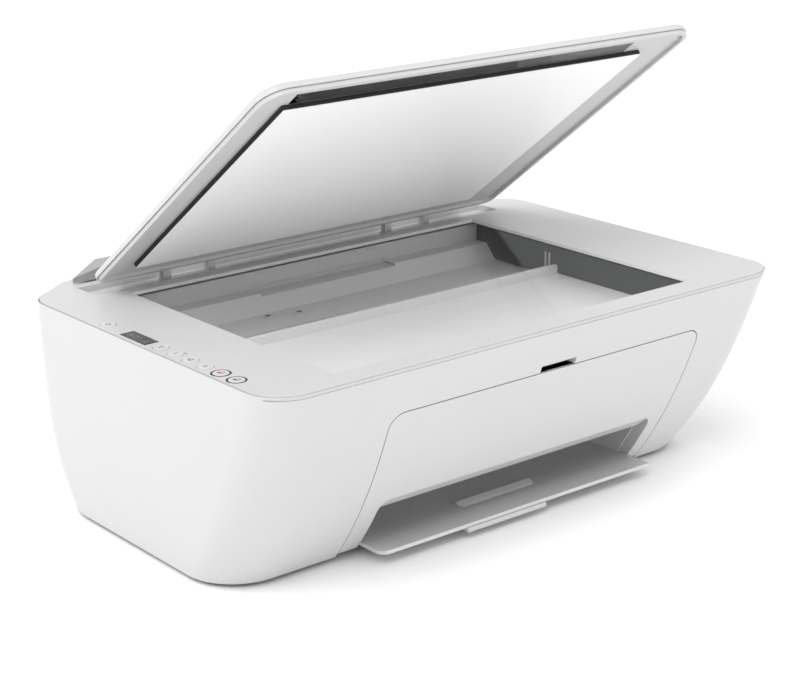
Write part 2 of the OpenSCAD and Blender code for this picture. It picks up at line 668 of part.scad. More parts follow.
// ---------- controls ----------
module panel_board() color([0.12, 0.35, 0.22]) {
    x = [button_x - 5.2, button_x + 7];
    span(x, [button_y(button_count - 1) - 8, power_y + 9], board_z);
    for (y = concat([power_y], [for (i = [0:button_count - 1]) button_y(i)]))
        rod_z(button_x, y, [board_z[1] - eps, board_z[1] + 0.9], 2.4, 32);
    // display module
    span([button_x - display_half + 0.4, button_x + display_half - 0.4],
        [display_y[0] + 0.6, display_y[1] - 0.6], [board_z[1] - eps, rim_z - 1.8]);
}
module display_window() color(dark)
    span([button_x - display_half + 0.1, button_x + display_half - 0.1],
        [display_y[0] + 0.1, display_y[1] - 0.1], [rim_z - 1.7, rim_z + 0.05]);
module copy_button_rings() color(dark)
    for (i = [button_count - 2, button_count - 1]) difference() {
        rod_z(button_x, button_y(i), [rim_z - 2.5, rim_z + 0.1], ring_r);
        rod_z(button_x, button_y(i), [rim_z - 3, rim_z + 1], button_r + button_gap);
    }
module push_button(y) color(white) {
    rod_z(button_x, y, [flange_z[0], rim_z + 0.25], button_r);
    rod_z(button_x, y, flange_z, button_r + 0.6);
    rod_z(button_x, y, [board_z[1] + 0.9 + button_travel + 0.3, flange_z[0] + eps], 2, 32);
}
module power_button() push_button(power_y);
module wireless_button() push_button(button_y(0));
module info_button() push_button(button_y(1));
module resume_button() push_button(button_y(2));
module cancel_button() push_button(button_y(3));
module color_copy_button() push_button(button_y(4));
module black_copy_button() push_button(button_y(5));

// ---------- lid, built closed and then swung open ----------
lid_x = [lid_mid - lid_w / 2, lid_mid + lid_w / 2];
lid_front = front_edge - 1;
lid_low = rim_z + 0.4;
lid_top = rim_z + lid_h;
lid_seam = rim_z + 3.3;
frame_back = hinge_y - 6.6;
lid_round = 17;
pad_x = [window_x[0] + (window_w - pad_w) / 2, window_x[0] + (window_w + pad_w) / 2];
pad_y = [window_y[0] + (window_d - pad_d) / 2, window_y[0] + (window_d + pad_d) / 2];
pad_face = glass_z + 0.5;
ceiling = rim_z + 2.6;
lid_rear_round = 9;
flap_half = lid_w / 2 - 24;
module opened() translate([0, hinge_y, hinge_z]) rotate([-lid_open, 0, 0])
    translate([0, -hinge_y, -hinge_z]) children();
function lid_plan(d, back) = let (r = lid_round - d, q = lid_rear_round - 0.7 * d, n = 10) concat(
    [for (i = [0:4]) let (a = 22.5 * i) [lid_x[1] - d - q + q * cos(a), back - q + q * sin(a)]],
    [for (i = [0:4]) let (a = 90 + 22.5 * i) [lid_x[0] + d + q + q * cos(a), back - q + q * sin(a)]],
    [for (i = [0:n]) let (a = 180 + 90 * i / n)
        [lid_x[0] + d + r + r * cos(a), lid_front + d + r + r * sin(a)]],
    [for (i = [0:n]) let (a = 270 + 90 * i / n)
        [lid_x[1] - d - r + r * cos(a), lid_front + d + r + r * sin(a)]]);
// Stack of outlines that rounds the lid's upper edge
edge_drop = 3.4;
edge_steps = 6;
module lid_shell() color(white) opened() {
    back = frame_back + 2.6;
    slope = 0.45;                // how much the side leans in over its height
    body_top = lid_top - edge_drop;
    difference() {
        // flap that covers the hinge trough
        span([lid_mid - flap_half, lid_mid + flap_half], [frame_back + 1.2, hinge_y + 7.4],
            [hinge_z + 0.4, lid_top - 0.4]);
        for (m = [lid_mid - hinge_x, lid_mid + hinge_x]) span([m - hinge_half - 1, m + hinge_half + 1],
            [frame_back - 2, hinge_y + 8], [lid_seam - 1, lid_top + 1]);
    }
    difference() {
        hull() {
            plate([lid_seam, lid_seam + 0.1], lid_plan(0, back - 0.3));
            plate([body_top, body_top + 0.1], lid_plan(slope, back));
            for (i = [1:edge_steps]) let (a = 90 * i / edge_steps)
                plate([body_top + edge_drop * sin(a) - 0.1, body_top + edge_drop * sin(a)],
                    lid_plan(slope + edge_drop * 1.6 * (1 - cos(a)), back - 0.6 * (1 - cos(a))));
        }
        plate([lid_seam - 1, lid_top - 2], lid_plan(2.2, frame_back + 0.6));
        // room for the hinges
        for (m = [lid_mid - hinge_x, lid_mid + hinge_x]) span([m - hinge_half - 1, m + hinge_half + 1],
            [frame_back - 2, back + 1], [lid_seam - 1, lid_top + 1]);
    }
}
module lid_frame() color(white) opened() {
    rim_w = 3;
    difference() {
        union() {
            plate([lid_low, lid_seam - 0.3], lid_plan(1.2, frame_back));
            plate([lid_seam - 0.3 - eps, ceiling + 1.2], lid_plan(2.6, frame_back));
            // knuckles
            for (m = [lid_mid - hinge_x, lid_mid + hinge_x]) {
                kx = [m - hinge_half + lug_w + fit, m + hinge_half - lug_w - fit];
                rod_x(kx, hinge_y, hinge_z, knuckle_r);
                span(kx, [frame_back - 1, hinge_y], [hinge_z - knuckle_r, hinge_z + knuckle_r]);
                span(kx, [frame_back - rim_w, frame_back], [lid_low + 1, lid_top - 2.3]);
            }
        }
        plate([lid_low - 1, ceiling], lid_plan(1.2 + rim_w, frame_back - rim_w));
        // grip slot along the front
        span([pad_x[0] + 5, pad_x[1] - 14], [lid_front + 10, pad_y[0] + 1], [ceiling - 1, ceiling + 3]);
        for (m = [lid_mid - hinge_x, lid_mid + hinge_x])
            rod_x([m - hinge_half, m + hinge_half], hinge_y, hinge_z, hinge_pin_r + run);
    }
}
module lid_foam() color(dark) opened()
    span(pad_x, pad_y, [pad_face + 0.6, ceiling - 0.05]);
module lid_sheet() color([0.97, 0.97, 0.97]) opened()
    span([pad_x[0] + 0.3, pad_x[1] - 0.3], [pad_y[0] + 0.3, pad_y[1] - 0.3],
        [pad_face, pad_face + 0.55]);

module hinge_bracket(side) color(grey) {
    mid = lid_mid + side * hinge_x;
    span([mid - hinge_half, mid + hinge_half], [hinge_y - 4.5, hinge_y + 4.5],
        [trough_z, trough_z + 1.6]);
    for (s = [-1, 1]) {
        x = s > 0 ? [mid + hinge_half - lug_w, mid + hinge_half] : [mid - hinge_half, mid - hinge_half + lug_w];
        span(x, [hinge_y - knuckle_r, hinge_y + knuckle_r], [trough_z + 1.5, hinge_z]);
        rod_x(x, hinge_y, hinge_z, knuckle_r);
        rod_x(s > 0 ? [x[0] - 6, x[0] + 1] : [x[1] - 1, x[1] + 6], hinge_y, hinge_z, hinge_pin_r);
    }
}
module hinge_bracket_left() hinge_bracket(-1);
module hinge_bracket_right() hinge_bracket(1);

// ---------- front door ----------
module ink_door() color(white) {
    flange = 10;
    front_cut = [front_edge - 10, -55];
    intersection() {
        difference() {
            body_form(ground_gap, shell_top, 0);
            body_form(ground_gap - 0.5, shell_top + 0.5, wall);
        }
        difference() {
            along_y(front_cut, arch(door_x, door_top, door_round, door_low, 0));
            along_y([front_edge - 20, -40], arch(exit_x, exit_top, exit_round, ground_gap - 1, 0));
        }
    }
    // returned edge around the paper exit
    intersection() {
        difference() {
            body_form(ground_gap, exit_top + 20, 0.6, 8);
            body_form(ground_gap - 0.5, exit_top + 21, flange, 8);
        }
        difference() {
            along_y(front_cut, arch(exit_x, exit_top, exit_round, door_low, wall));
            along_y([front_edge - 20, -40], arch(exit_x, exit_top, exit_round, ground_gap - 1, 0));
        }
    }
    // rolled lip that leads down into the paper exit
    along_x([exit_x[0] + 4, exit_x[1] - 4], [[front_y(exit_top) + 0.4, exit_top],
        [front_y(exit_top) + 9.5, exit_top - 8], [front_y(exit_top) + 9.5, exit_top - 5.8],
        [front_y(exit_top) + 1, exit_top + 2]]);
    // hinge arms and pins at the feet of the legs
    for (s = [-1, 1]) {
        leg = s < 0 ? [door_x[0] + 1.5, exit_x[0] - 1] : [exit_x[1] + 1, door_x[1] - 1.5];
        span(leg, [front_y(door_low + 1) + 1, door_pivot_y + 3.5], [door_low + 1, door_pivot_z + 4]);
        rod_x(s < 0 ? [door_x[0] - 5.2, leg[0] + 1] : [leg[1] - 1, door_x[1] + 5.2],
            door_pivot_y, door_pivot_z, door_pin_r);
    }
}

// ---------- paper exit ----------
module output_tray() color(grey) {
    mid = path_x + 1;
    grip = [mid - 33, mid + 33];
    r = 7;
    front_plan = concat([[tray_x[1], tray_back], [tray_x[0], tray_back]],
        [for (i = [0:6]) let (a = 180 + 15 * i) [tray_x[0] + r + r * cos(a), tray_front + r + r * sin(a)]],
        [[tray_x[1] - 1, tray_front], [tray_x[1], tray_front + 1]]);
    difference() {
        union() {
            plate([tray_z - tray_t, tray_z], front_plan);
            span(tray_x, [tray_back, tray_back + 2], [tray_z - tray_t, 38]);
            // side walls inside the opening
            for (x = [[tray_x[0], tray_x[0] + 2], [tray_x[1] - 2, tray_x[1]]])
                along_x(x, [[tray_back, tray_z - 1], [tray_back, 38], [front_y(38) + 9, 38],
                    [front_y(tray_z) + 9, tray_z - 1]]);
            // raised edge behind the finger hollow
            along_x(grip, [[-82, tray_z - 1], [-74, tray_z - 1], [-74, tray_z + 0.2],
                [-78, tray_z + 1.6], [-82, tray_z + 0.2]]);
        }
        // finger hollow
        hull() for (x = [grip[0] + 3, grip[1] - 3]) translate([x, -85, tray_z + 1.2])
            sphere(r = 2.4, $fn = 24);
    }
}
module tray_extender() color(white) {
    span(extender_x, [tray_front - 1, tray_front + 100], [extender_z[0], extender_z[1]]);
    along_x(extender_x, [[tray_front - 0.4, extender_z[0]], [tray_front - 0.4, extender_z[1] + 0.4],
        [tray_front - 1.2, extender_z[1] + 0.4], [tray_front - 2, extender_z[1] - 0.6],
        [tray_front - 1.6, extender_z[0] - 0.2], [tray_front - 0.8, extender_z[0] - 0.4]]);
}

// ---------- rear sheet support ----------
skin = 2.4;
slope_z = 5.3;                   // how far the cap's ends fall
slope_x = 26.5;                  // over this width
// Outline of the cap in Y and Z, drawn in by d
function cap_outline(d) = [[rear_edge - d, support_z - (d > 0 ? 5 : 0)], [rear_edge - d, support_top - 6],
    [rear_edge - 0.8 - d, support_top - 3], [rear_edge - 2.6 - 0.6 * d, support_top - 1 - 0.7 * d],
    [rear_edge - 5.4 - 0.3 * d, support_top - d], [lip_y + 1.2 + 0.5 * d, support_top - d],
    [lip_y + d, support_top - 1.2 - 0.5 * d], [lip_y + d, rim_z + 0.5 - (d > 0 ? 1 : 0)],
    [rear_edge - 2.8, rim_z + 0.5 - (d > 0 ? 1 : 0)], [rear_edge - 2.8, support_z - (d > 0 ? 5 : 0)]];
module cap_ends(drop) {
    for (s = [-1, 1]) translate([s * (support_x - slope_x), 0, support_top - drop])
        rotate([0, s * atan(slope_z / slope_x), 0])
        translate([s > 0 ? 0 : -60, rim_back - 10, 0]) cube([60, 60, 20]);
}
// What is cut off the cap's slanted ends
module end_cuts(d) {
    in = d * sqrt(1 + pow(cap_taper / (rear_edge - lip_y), 2));
    for (m = [0, 1]) mirror([m, 0, 0]) plate([support_z - 10, support_top + 5],
        [[cap_end(lip_y - 5) - in, lip_y - 5], [half_w + 10, lip_y - 5],
         [half_w + 10, rear_edge + 5], [cap_end(rear_edge + 5) - in, rear_edge + 5]]);
}
module rear_tray() color(white) {
    difference() {
        along_x([-support_x, support_x], cap_outline(0));
        cap_ends(0);
        end_cuts(0);
        // the hanging plate is narrower than the cap
        for (x = [[-support_x - 1, -plate_x], [plate_x, support_x + 1]])
            span(x, [rear_edge - 3, rear_edge + 1], [support_z - 1, rim_z + 0.5]);
        // lower corners, where the bearings are
        for (x = [[-support_x, -pin_x], [pin_x, support_x]])
            span(x, [rear_edge - 3, rear_edge + 1], [support_z - 1, support_z + 10]);
        // hollow under the cap
        difference() {
            intersection() {
                along_x([skin - support_x, support_x - skin], cap_outline(skin));
                span([-support_x, support_x], [rim_back, rear_edge - 2.8], [rim_z - 1, support_top]);
            }
            cap_ends(skin);
            end_cuts(skin);
        }
        // slot that the extension slides through
        span([-60.5, 60.5], [rear_edge - 6.4, rear_edge - 2.9], [rim_z - 4, support_top + 1]);
        span([-14.6, 14.6], [rear_edge - 8.6, rear_edge - 6], [rim_z - 9, support_top + 1]);
    }
    // ribs that guide the extension
    for (s = [-1, 1]) {
        span(s > 0 ? [60.5, 63] : [-63, -60.5], [rear_edge - 7.4, rear_edge - 2.7], [78, rim_z - 6]);
        span(s > 0 ? [58, 63] : [-63, -58], [rear_edge - 7.6, rear_edge - 6.4], [78, rim_z - 6]);
    }
    // pivot pins
    for (s = [-1, 1]) {
        span(s > 0 ? [pin_x - 8, pin_x - 0.2] : [0.2 - pin_x, 8 - pin_x],
            [support_pivot_y - 2, rear_edge - 2.7], [support_z, support_z + 8]);
        rod_x(s > 0 ? [pin_x - 1, pin_x + 5] : [-pin_x - 5, 1 - pin_x],
            support_pivot_y, support_pivot_z, support_pin_r);
    }
}
module rear_tray_extension() color(grey) {
    span([-60, 60], [rear_edge - 6, rear_edge - 3.3], [78, support_top - 0.4]);
    span([-14, 14], [rear_edge - 8, rear_edge - 5.9], [rim_z - 8, rim_z - 3]);
}
module width_guide() color(grey) {
    span([guide_x - 1, guide_x + 11], [rear_edge - 5.2, rear_edge - 3.1], [52, 72]);
    span([guide_x - 1, guide_x + 1.5], [chute_y[0] + 2, rear_edge - 8.2], [52, 100]);
    span([guide_x - 1, guide_x + 1.5], [rear_edge - 8.3, rear_edge - 5], [52, 74]);
}

// ---------- print engine ----------
module print_chassis() color(steel) {
    engine_y = [output_y - 8, back_plate[1]];
    difference() {
        union() {
            span([left_plate[0], right_plate[1]], back_plate, [64, chassis_top]);
            span(left_plate, engine_y, [ground_gap + pan_t, chassis_top - 20]);
            span(left_plate, [-20, back_plate[1]], [chassis_top - 21, chassis_top]);
            span(right_plate, [-20, back_plate[1]], [20, chassis_top]);
        }
        rod_x([left_plate[0] - 1, left_plate[1] + 1], feed_y, roll_z, shaft_r + 0.3);
        rod_x([left_plate[0] - 1, left_plate[1] + 1], output_y, roll_z, output_shaft_r + 0.3);
        rod_x([left_plate[0] - 1, left_plate[1] + 1], pinion_y, pinion_z, 2.2);
        rod_x([left_plate[0] - 1, right_plate[1] + 1], rod_y0, rod_z0, rod_r);
        rod_y(drive_x, [back_plate[0] - 1, back_plate[1] + 1], belt_z, belt_pin_r + 0.4);
    }
    // pin for the idler gear, pin for the belt's idler pulley
    rod_x([gear_x0 - 1, left_plate[1]], idle_y, roll_z, 2);
    rod_y(idler_x, [belt_y[0] - 1, back_plate[1]], belt_z, belt_pin_r);
}
module carriage_rod() color(steel)
    rod_x([left_plate[0] - 1, right_plate[1] + 1], rod_y0, rod_z0, rod_r);
module encoder_strip() color([0.7, 0.7, 0.7, 0.5])
    span([left_plate[1] + 0.2, right_plate[0] - 0.2], [back_plate[0] - 0.9, back_plate[0] - 0.6], [84, 90]);
module carriage_motor() color(dark) {
    rod_y(drive_x, [back_plate[1] + 0.05, back_plate[1] + 26], belt_z, 13);
    rod_y(drive_x, [belt_y[0] - 1, back_plate[1] + 1], belt_z, belt_pin_r - 0.05, 32);
}
module belt_pulley(x, bore) color(white) difference() {
    union() {
        rod_y(x, [belt_y[0] - 0.4, belt_y[1] + 0.4], belt_z, pulley_r);
        rod_y(x, [belt_y[0] - 0.8, belt_y[0]], belt_z, pulley_r + 1.6);
        rod_y(x, [belt_y[1], belt_y[1] + 0.8], belt_z, pulley_r + 1.6);
    }
    rod_y(x, [belt_y[0] - 2, belt_y[1] + 2], belt_z, bore);
}
module drive_pulley() belt_pulley(drive_x, belt_pin_r);
module idler_pulley() belt_pulley(idler_x, belt_pin_r + run);
module belt_outline(r) {
    for (x = [drive_x, idler_x]) translate([x, belt_z]) circle(r = r, $fn = 48);
    translate([drive_x, belt_z - r]) square([idler_x - drive_x, 2 * r]);
}
module carriage_belt() color(dark) {
    inner = pulley_r + 0.06;
    translate([0, belt_y[1] - 0.3, 0]) rotate([90, 0, 0]) linear_extrude(belt_y[1] - belt_y[0] - 0.6)
        difference() {
            belt_outline(inner + belt_t);
            belt_outline(inner);
        }
}
module platen() color(dark) {
    bed_x = [platen_x[0] + platen_wall, platen_x[1] - platen_wall];
    difference() {
        for (x = [[platen_x[0], bed_x[0]], [bed_x[1], platen_x[1]]])
            span(x, [output_y - 9, 24], [14, bed_z - 1]);
        rod_x([platen_x[0] - 1, platen_x[1] + 1], feed_y, roll_z, shaft_r + run);
        rod_x([platen_x[0] - 1, platen_x[1] + 1], output_y, roll_z, output_shaft_r + run);
    }
    // bed between the rollers, with its ribs
    span([platen_x[0], platen_x[1]], [output_y + 8, feed_y - 8], [bed_z - 5, bed_z - 1]);
    for (i = [0:15]) let (x = bed_x[0] + 8 + i * (bed_x[1] - bed_x[0] - 16) / 15)
        span([x - 0.8, x + 0.8], [output_y + 10, feed_y - 10], [bed_z - 1.1, bed_z + 1]);
    // ramp that the sheets slide along from the rear
    span([path_x - paper_half - 4, path_x + paper_half + 4], [feed_y + 9, 126], [36.5, 39]);
    span([platen_x[0], platen_x[1]], [feed_y + 9, 24], [34, 39]);
    // holder of the star wheels
    for (x = [platen_x[0], platen_x[1] - platen_wall]) difference() {
        span([x, x + platen_wall], [output_y - 9, output_y + 5], [bed_z - 2, star_z + 3]);
        rod_x([x - 1, x + platen_wall + 1], output_y, star_z, star_shaft_r + run, 32);
    }
}
sleeve_count = 6;
function sleeve_x(i) = path_x - 82 + i * 34;
module feed_roller() color(dark) {
    rod_x([gear_x0 - 1.5, platen_x[1] + 2], feed_y, roll_z, shaft_r);
    for (i = [0:sleeve_count - 1]) rod_x([sleeve_x(i) - 11, sleeve_x(i) + 5], feed_y, roll_z, feed_r);
}
module feed_gear() color(white) gear_x([gear_x0, gear_x1], feed_y, roll_z, feed_teeth, shaft_r);
module idler_gear() color(white)
    gear_x([gear_x0, gear_x1], idle_y, roll_z, idle_teeth, 2 + run, 180 / idle_teeth);
module output_roller() color(dark) {
    rod_x([gear_x0 - 1.5, platen_x[1] + 2], output_y, roll_z, output_shaft_r);
    for (i = [0:sleeve_count - 1]) rod_x([sleeve_x(i) - 7, sleeve_x(i) + 1], output_y, roll_z, output_r);
    gear_x([gear_x0, gear_x1], output_y, roll_z, feed_teeth, output_shaft_r - eps);
}
module star_wheels() color(steel) {
    rod_x([platen_x[0] - 1, platen_x[1] + 1], output_y, star_z, star_shaft_r, 32);
    for (i = [0:sleeve_count - 1]) rod_x([sleeve_x(i) - 4, sleeve_x(i) - 2.5], output_y, star_z, star_r);
}
module motor_pinion() color([0.75, 0.6, 0.3]) {
    gear_x([gear_x0, gear_x1], pinion_y, pinion_z, pinion_teeth, 1 - eps,
        pinion_angle + 180 + 180 / pinion_teeth);
    rod_x([gear_x0, left_plate[1] + 2], pinion_y, pinion_z, 1, 32);
}
module feed_motor() color(steel) difference() {
    rod_x([left_plate[1], left_plate[1] + 24], pinion_y, pinion_z, motor_r);
    rod_x([left_plate[1] - 1, left_plate[1] + 3], pinion_y, pinion_z, 1 + run);
}
module pick_roller() color(dark) {
    rod_x([path_x - 42, path_x + 42], pick_y, pick_z, pick_shaft_r);
    rod_x([path_x - 16, path_x + 16], pick_y, pick_z, pick_r);
}
module print_carriage() color(dark) {
    x = [carriage_x - carriage_half, carriage_x + carriage_half];
    bay = 27.2;
    difference() {
        union() {
            along_x(x, [[carriage_y[0], carriage_z[0]], [carriage_y[1], carriage_z[0]],
                [carriage_y[1], carriage_z[1]], [carriage_y[0] + 22, carriage_z[1]],
                [carriage_y[0], carriage_z[1] - 26]]);
            along_x([x[0] + 4, x[1] - 4], [[carriage_y[1] - eps, 70], [44, 70], [44, 90],
                [carriage_y[1] - eps, 90]]);
        }
        for (s = [-1, 1]) let (mid = carriage_x + s * 14.4) {
            span([mid - bay / 2, mid + bay / 2], [carriage_y[0] + 5, carriage_y[1] - 6],
                [carriage_z[0] + 3, carriage_z[1] + 1]);
            span([mid - bay / 2, mid + bay / 2], [carriage_y[0] - 1, carriage_y[0] + 8],
                [carriage_z[0] + 18, carriage_z[1] + 1]);
            span([mid - 9, mid + 9], [-34, 2], [carriage_z[0] - 1, carriage_z[0] + 4]);
        }
        rod_x([x[0] - 1, x[1] + 1], rod_y0, rod_z0, rod_r + run);
    }
    belt_clamp();
}
// Jaws that hold the lower run of the belt
module belt_clamp() {
    run_z = [belt_z - pulley_r - 0.06 - belt_t, belt_z - pulley_r - 0.06];
    x = [carriage_x - 6, carriage_x + 6];
    span(x, [belt_y[0] - 2, belt_y[1] - 1], [89, run_z[0] - 0.3]);
    span(x, [belt_y[0] - 2, belt_y[0]], [89, run_z[1] + 2]);
    span(x, [belt_y[0] - 2, belt_y[1] - 1], [run_z[1] + 0.35, run_z[1] + 2]);
}
module cartridge(mid, tint) {
    y = [carriage_y[0] + 5.4, carriage_y[1] - 6.4];
    z = [carriage_z[0] + 3.2, carriage_z[1] - 7];
    color(dark) {
        along_x([mid - 13.2, mid + 13.2], [[y[0], z[0]], [y[1], z[0]], [y[1], z[1]],
            [y[0] + 12, z[1]], [y[0], z[1] - 16]]);
        span([mid - 8.6, mid + 8.6], [-33, 1], [carriage_z[0] - 1.6, z[0] + eps]);
    }
    color(tint) span([mid - 10, mid + 10], [y[0] + 14, y[1] - 6], [z[1] - eps, z[1] + 1]);
}
module color_cartridge() cartridge(carriage_x - 14.4, [0.8, 0.3, 0.4]);
module black_cartridge() cartridge(carriage_x + 14.4, grey);
module service_station() color(grey) {
    x = [carriage_x - 28, carriage_x + 28];
    difference() {
        span(x, [-42, 6], [ground_gap + pan_t + 0.1, 46]);
        span([x[0] + 2, x[1] - 2], [-40, 4], [30, 47]);
    }
    // caps and wiper blade
    for (s = [-1, 1]) span([carriage_x + s * 14.4 - 8, carriage_x + s * 14.4 + 8],
        [-30, -4], [29, 52.6]);
    span([carriage_x - 24, carriage_x + 24], [-1, 0.5], [29, 51]);
}
module main_board() color([0.12, 0.35, 0.22]) {
    span([-182, -180.4], [-60, 56], [14, 104]);
    span([-180.5, -177], [-20, 5], [60, 85]);
    span([-180.5, -174], [25, 45], [30, 60]);
    span([-180.5, -172], [-50, -34], [86, 100]);
    for (i = [0:3]) rod_x([-180.5, -168], -48 + 14 * i, 26, 4, 24);
}
module power_supply() color(dark) {
    difference() {
        span(supply_x, supply_y, [8, 44]);
        for (i = [0:vent_count - 1]) span([supply_x[0] + 3, supply_x[1] - 3],
            [supply_y[0] + 3 + 3 * i, supply_y[0] + 4.6 + 3 * i], [42, 45]);
    }
}

base_pan();
outer_shell();
rear_cover();
scanner_tub();
scan_bezel();
scanner_glass();
hinge_bracket_left();
hinge_bracket_right();
display_window();
panel_board();
copy_button_rings();
output_tray();
print_chassis();
carriage_rod();
encoder_strip();
carriage_motor();
carriage_belt();
platen();
feed_motor();
service_station();
main_board();
power_supply();
power_inlet();
usb_port();
feet();
case_screws();
scan_ribbon();
lid_shell();
lid_frame();
lid_foam();
lid_sheet();
power_button();
wireless_button();
info_button();
resume_button();
cancel_button();
color_copy_button();
black_copy_button();
ink_door();
tray_extender();
rear_tray();
rear_tray_extension();
width_guide();
scan_bar();
scan_bar_window();
scan_carrier();
scan_motor();
scan_pinion();
print_carriage();
color_cartridge();
black_cartridge();
drive_pulley();
idler_pulley();
feed_roller();
feed_gear();
idler_gear();
output_roller();
star_wheels();
motor_pinion();
pick_roller();
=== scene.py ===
import json
import math

import bpy
from bpy.props import FloatProperty, FloatVectorProperty, IntProperty, PointerProperty
from bpy.types import Operator, Panel, PropertyGroup
from mathutils import Matrix, Vector
from mathutils.bvhtree import BVHTree


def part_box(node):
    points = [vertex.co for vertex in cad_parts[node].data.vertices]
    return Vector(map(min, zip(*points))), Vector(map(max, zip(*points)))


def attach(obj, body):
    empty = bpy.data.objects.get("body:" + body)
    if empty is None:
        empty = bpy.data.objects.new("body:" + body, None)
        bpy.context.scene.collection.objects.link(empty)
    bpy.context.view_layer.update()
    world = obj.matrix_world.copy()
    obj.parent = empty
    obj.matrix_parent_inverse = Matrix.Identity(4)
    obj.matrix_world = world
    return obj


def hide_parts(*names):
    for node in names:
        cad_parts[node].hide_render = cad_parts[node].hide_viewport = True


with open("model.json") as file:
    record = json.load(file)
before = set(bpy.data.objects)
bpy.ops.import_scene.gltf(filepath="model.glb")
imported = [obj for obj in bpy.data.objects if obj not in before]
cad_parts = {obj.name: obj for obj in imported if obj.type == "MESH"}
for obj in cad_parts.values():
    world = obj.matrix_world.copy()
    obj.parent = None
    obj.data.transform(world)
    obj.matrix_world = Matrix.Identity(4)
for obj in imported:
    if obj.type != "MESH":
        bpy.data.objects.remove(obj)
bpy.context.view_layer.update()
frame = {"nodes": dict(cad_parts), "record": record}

bl_info = {
    "name": "Flatbed Inkjet Printer",
    "version": (1, 0, 0),
    "blender": (4, 5, 0),
    "location": "View3D > Sidebar > Printer",
    "description": "Finishes the printer's housing, lid, scanner, controls and paper trays",
    "category": "Object",
}

HOUSING = "housing"
MM = 0.001


# ---------------------------------------------------------------- materials

class Wire:
    """A number that runs through the material's nodes, usable in plain arithmetic."""

    def __init__(self, maker, socket):
        self.maker = maker
        self.socket = socket

    def _math(self, operation, first, second):
        return self.maker.node("ShaderNodeMath", {"operation": operation}, {0: first, 1: second}).out()

    def __add__(self, other):
        return self._math("ADD", self, other)

    def __radd__(self, other):
        return self._math("ADD", other, self)

    def __sub__(self, other):
        return self._math("SUBTRACT", self, other)

    def __rsub__(self, other):
        return self._math("SUBTRACT", other, self)

    def __mul__(self, other):
        return self._math("MULTIPLY", self, other)

    def __truediv__(self, other):
        return self._math("DIVIDE", self, other)

    def __lt__(self, other):
        return self._math("LESS_THAN", self, other)

    def __gt__(self, other):
        return self._math("GREATER_THAN", self, other)

    def __abs__(self):
        return self._math("ABSOLUTE", self, 0.0)

    def low(self, other):
        return self._math("MINIMUM", self, other)

    def high(self, other):
        return self._math("MAXIMUM", self, other)


class Placed:
    """A node that has been put into a material."""

    def __init__(self, maker, node):
        self.maker = maker
        self.node = node

    def out(self, key=0):
        return Wire(self.maker, self.node.outputs[key])


class Finish:
    """Builds one node material on object coordinates."""

    def __init__(self, name):
        self.material = bpy.data.materials.new(name)
        self.material.use_nodes = True
        self.tree = self.material.node_tree
        self.shader = self.tree.nodes["Principled BSDF"]
        self.output = self.tree.nodes["Material Output"]
        self.place = self.node("ShaderNodeTexCoord").out("Object")

    def node(self, kind, settings=None, inputs=None):
        made = self.tree.nodes.new(kind)
        for key, value in (settings or {}).items():
            if key == "stops":
                ramp = made.color_ramp
                for index, (place, shade) in enumerate(value):
                    stop = ramp.elements[index] if index < 2 else ramp.elements.new(place)
                    stop.position = place
                    stop.color = (shade, shade, shade, 1.0)
            else:
                setattr(made, key, value)
        for key, value in (inputs or {}).items():
            if isinstance(value, Wire):
                self.tree.links.new(value.socket, made.inputs[key])
            else:
                made.inputs[key].default_value = value
        return Placed(self, made)

    def noise(self, scale, detail=3.0, roughness=0.5, stretch=None):
        place = self.place
        if stretch:
            place = self.node("ShaderNodeMapping", inputs={"Vector": place, "Scale": stretch}).out()
        return self.node("ShaderNodeTexNoise", inputs={
            "Vector": place, "Scale": scale, "Detail": detail, "Roughness": roughness}).out("Fac")

    def mix(self, factor, first, second, blend="MIX"):
        def shade(value):
            return value if isinstance(value, Wire) else (*value, 1.0)
        return self.node("ShaderNodeMix", {"data_type": "RGBA", "blend_type": blend},
                         {0: factor, 6: shade(first), 7: shade(second)}).out(2)

    def axes(self):
        split = self.node("ShaderNodeSeparateXYZ", inputs={0: self.place})
        return split.out(0), split.out(1), split.out(2)

    def set(self, **values):
        for key, value in values.items():
            socket = self.shader.inputs[key.replace("_", " ")]
            if isinstance(value, Wire):
                self.tree.links.new(value.socket, socket)
            else:
                socket.default_value = value

    def bump(self, height, distance, strength=1.0):
        made = self.node("ShaderNodeBump", inputs={
            "Strength": strength, "Distance": distance, "Height": height})
        self.tree.links.new(made.node.outputs[0], self.shader.inputs["Normal"])


GRAIN_SCALE = 1900.0
PLASTIC_IOR = 1.46
GLASS_IOR = 1.5
GLASS_SHEEN = 0.3                                # share of the mirror effect that is shown
GLASS_BODY = (0.985, 0.987, 0.986, 1.0)          # what is left of the light behind the glass
DISPLAY_CELL = (0.0024, 0.0041)                  # width and height of a display segment's cell


def scaled(colour, amount):
    return tuple(min(1.0, channel * amount) for channel in colour)


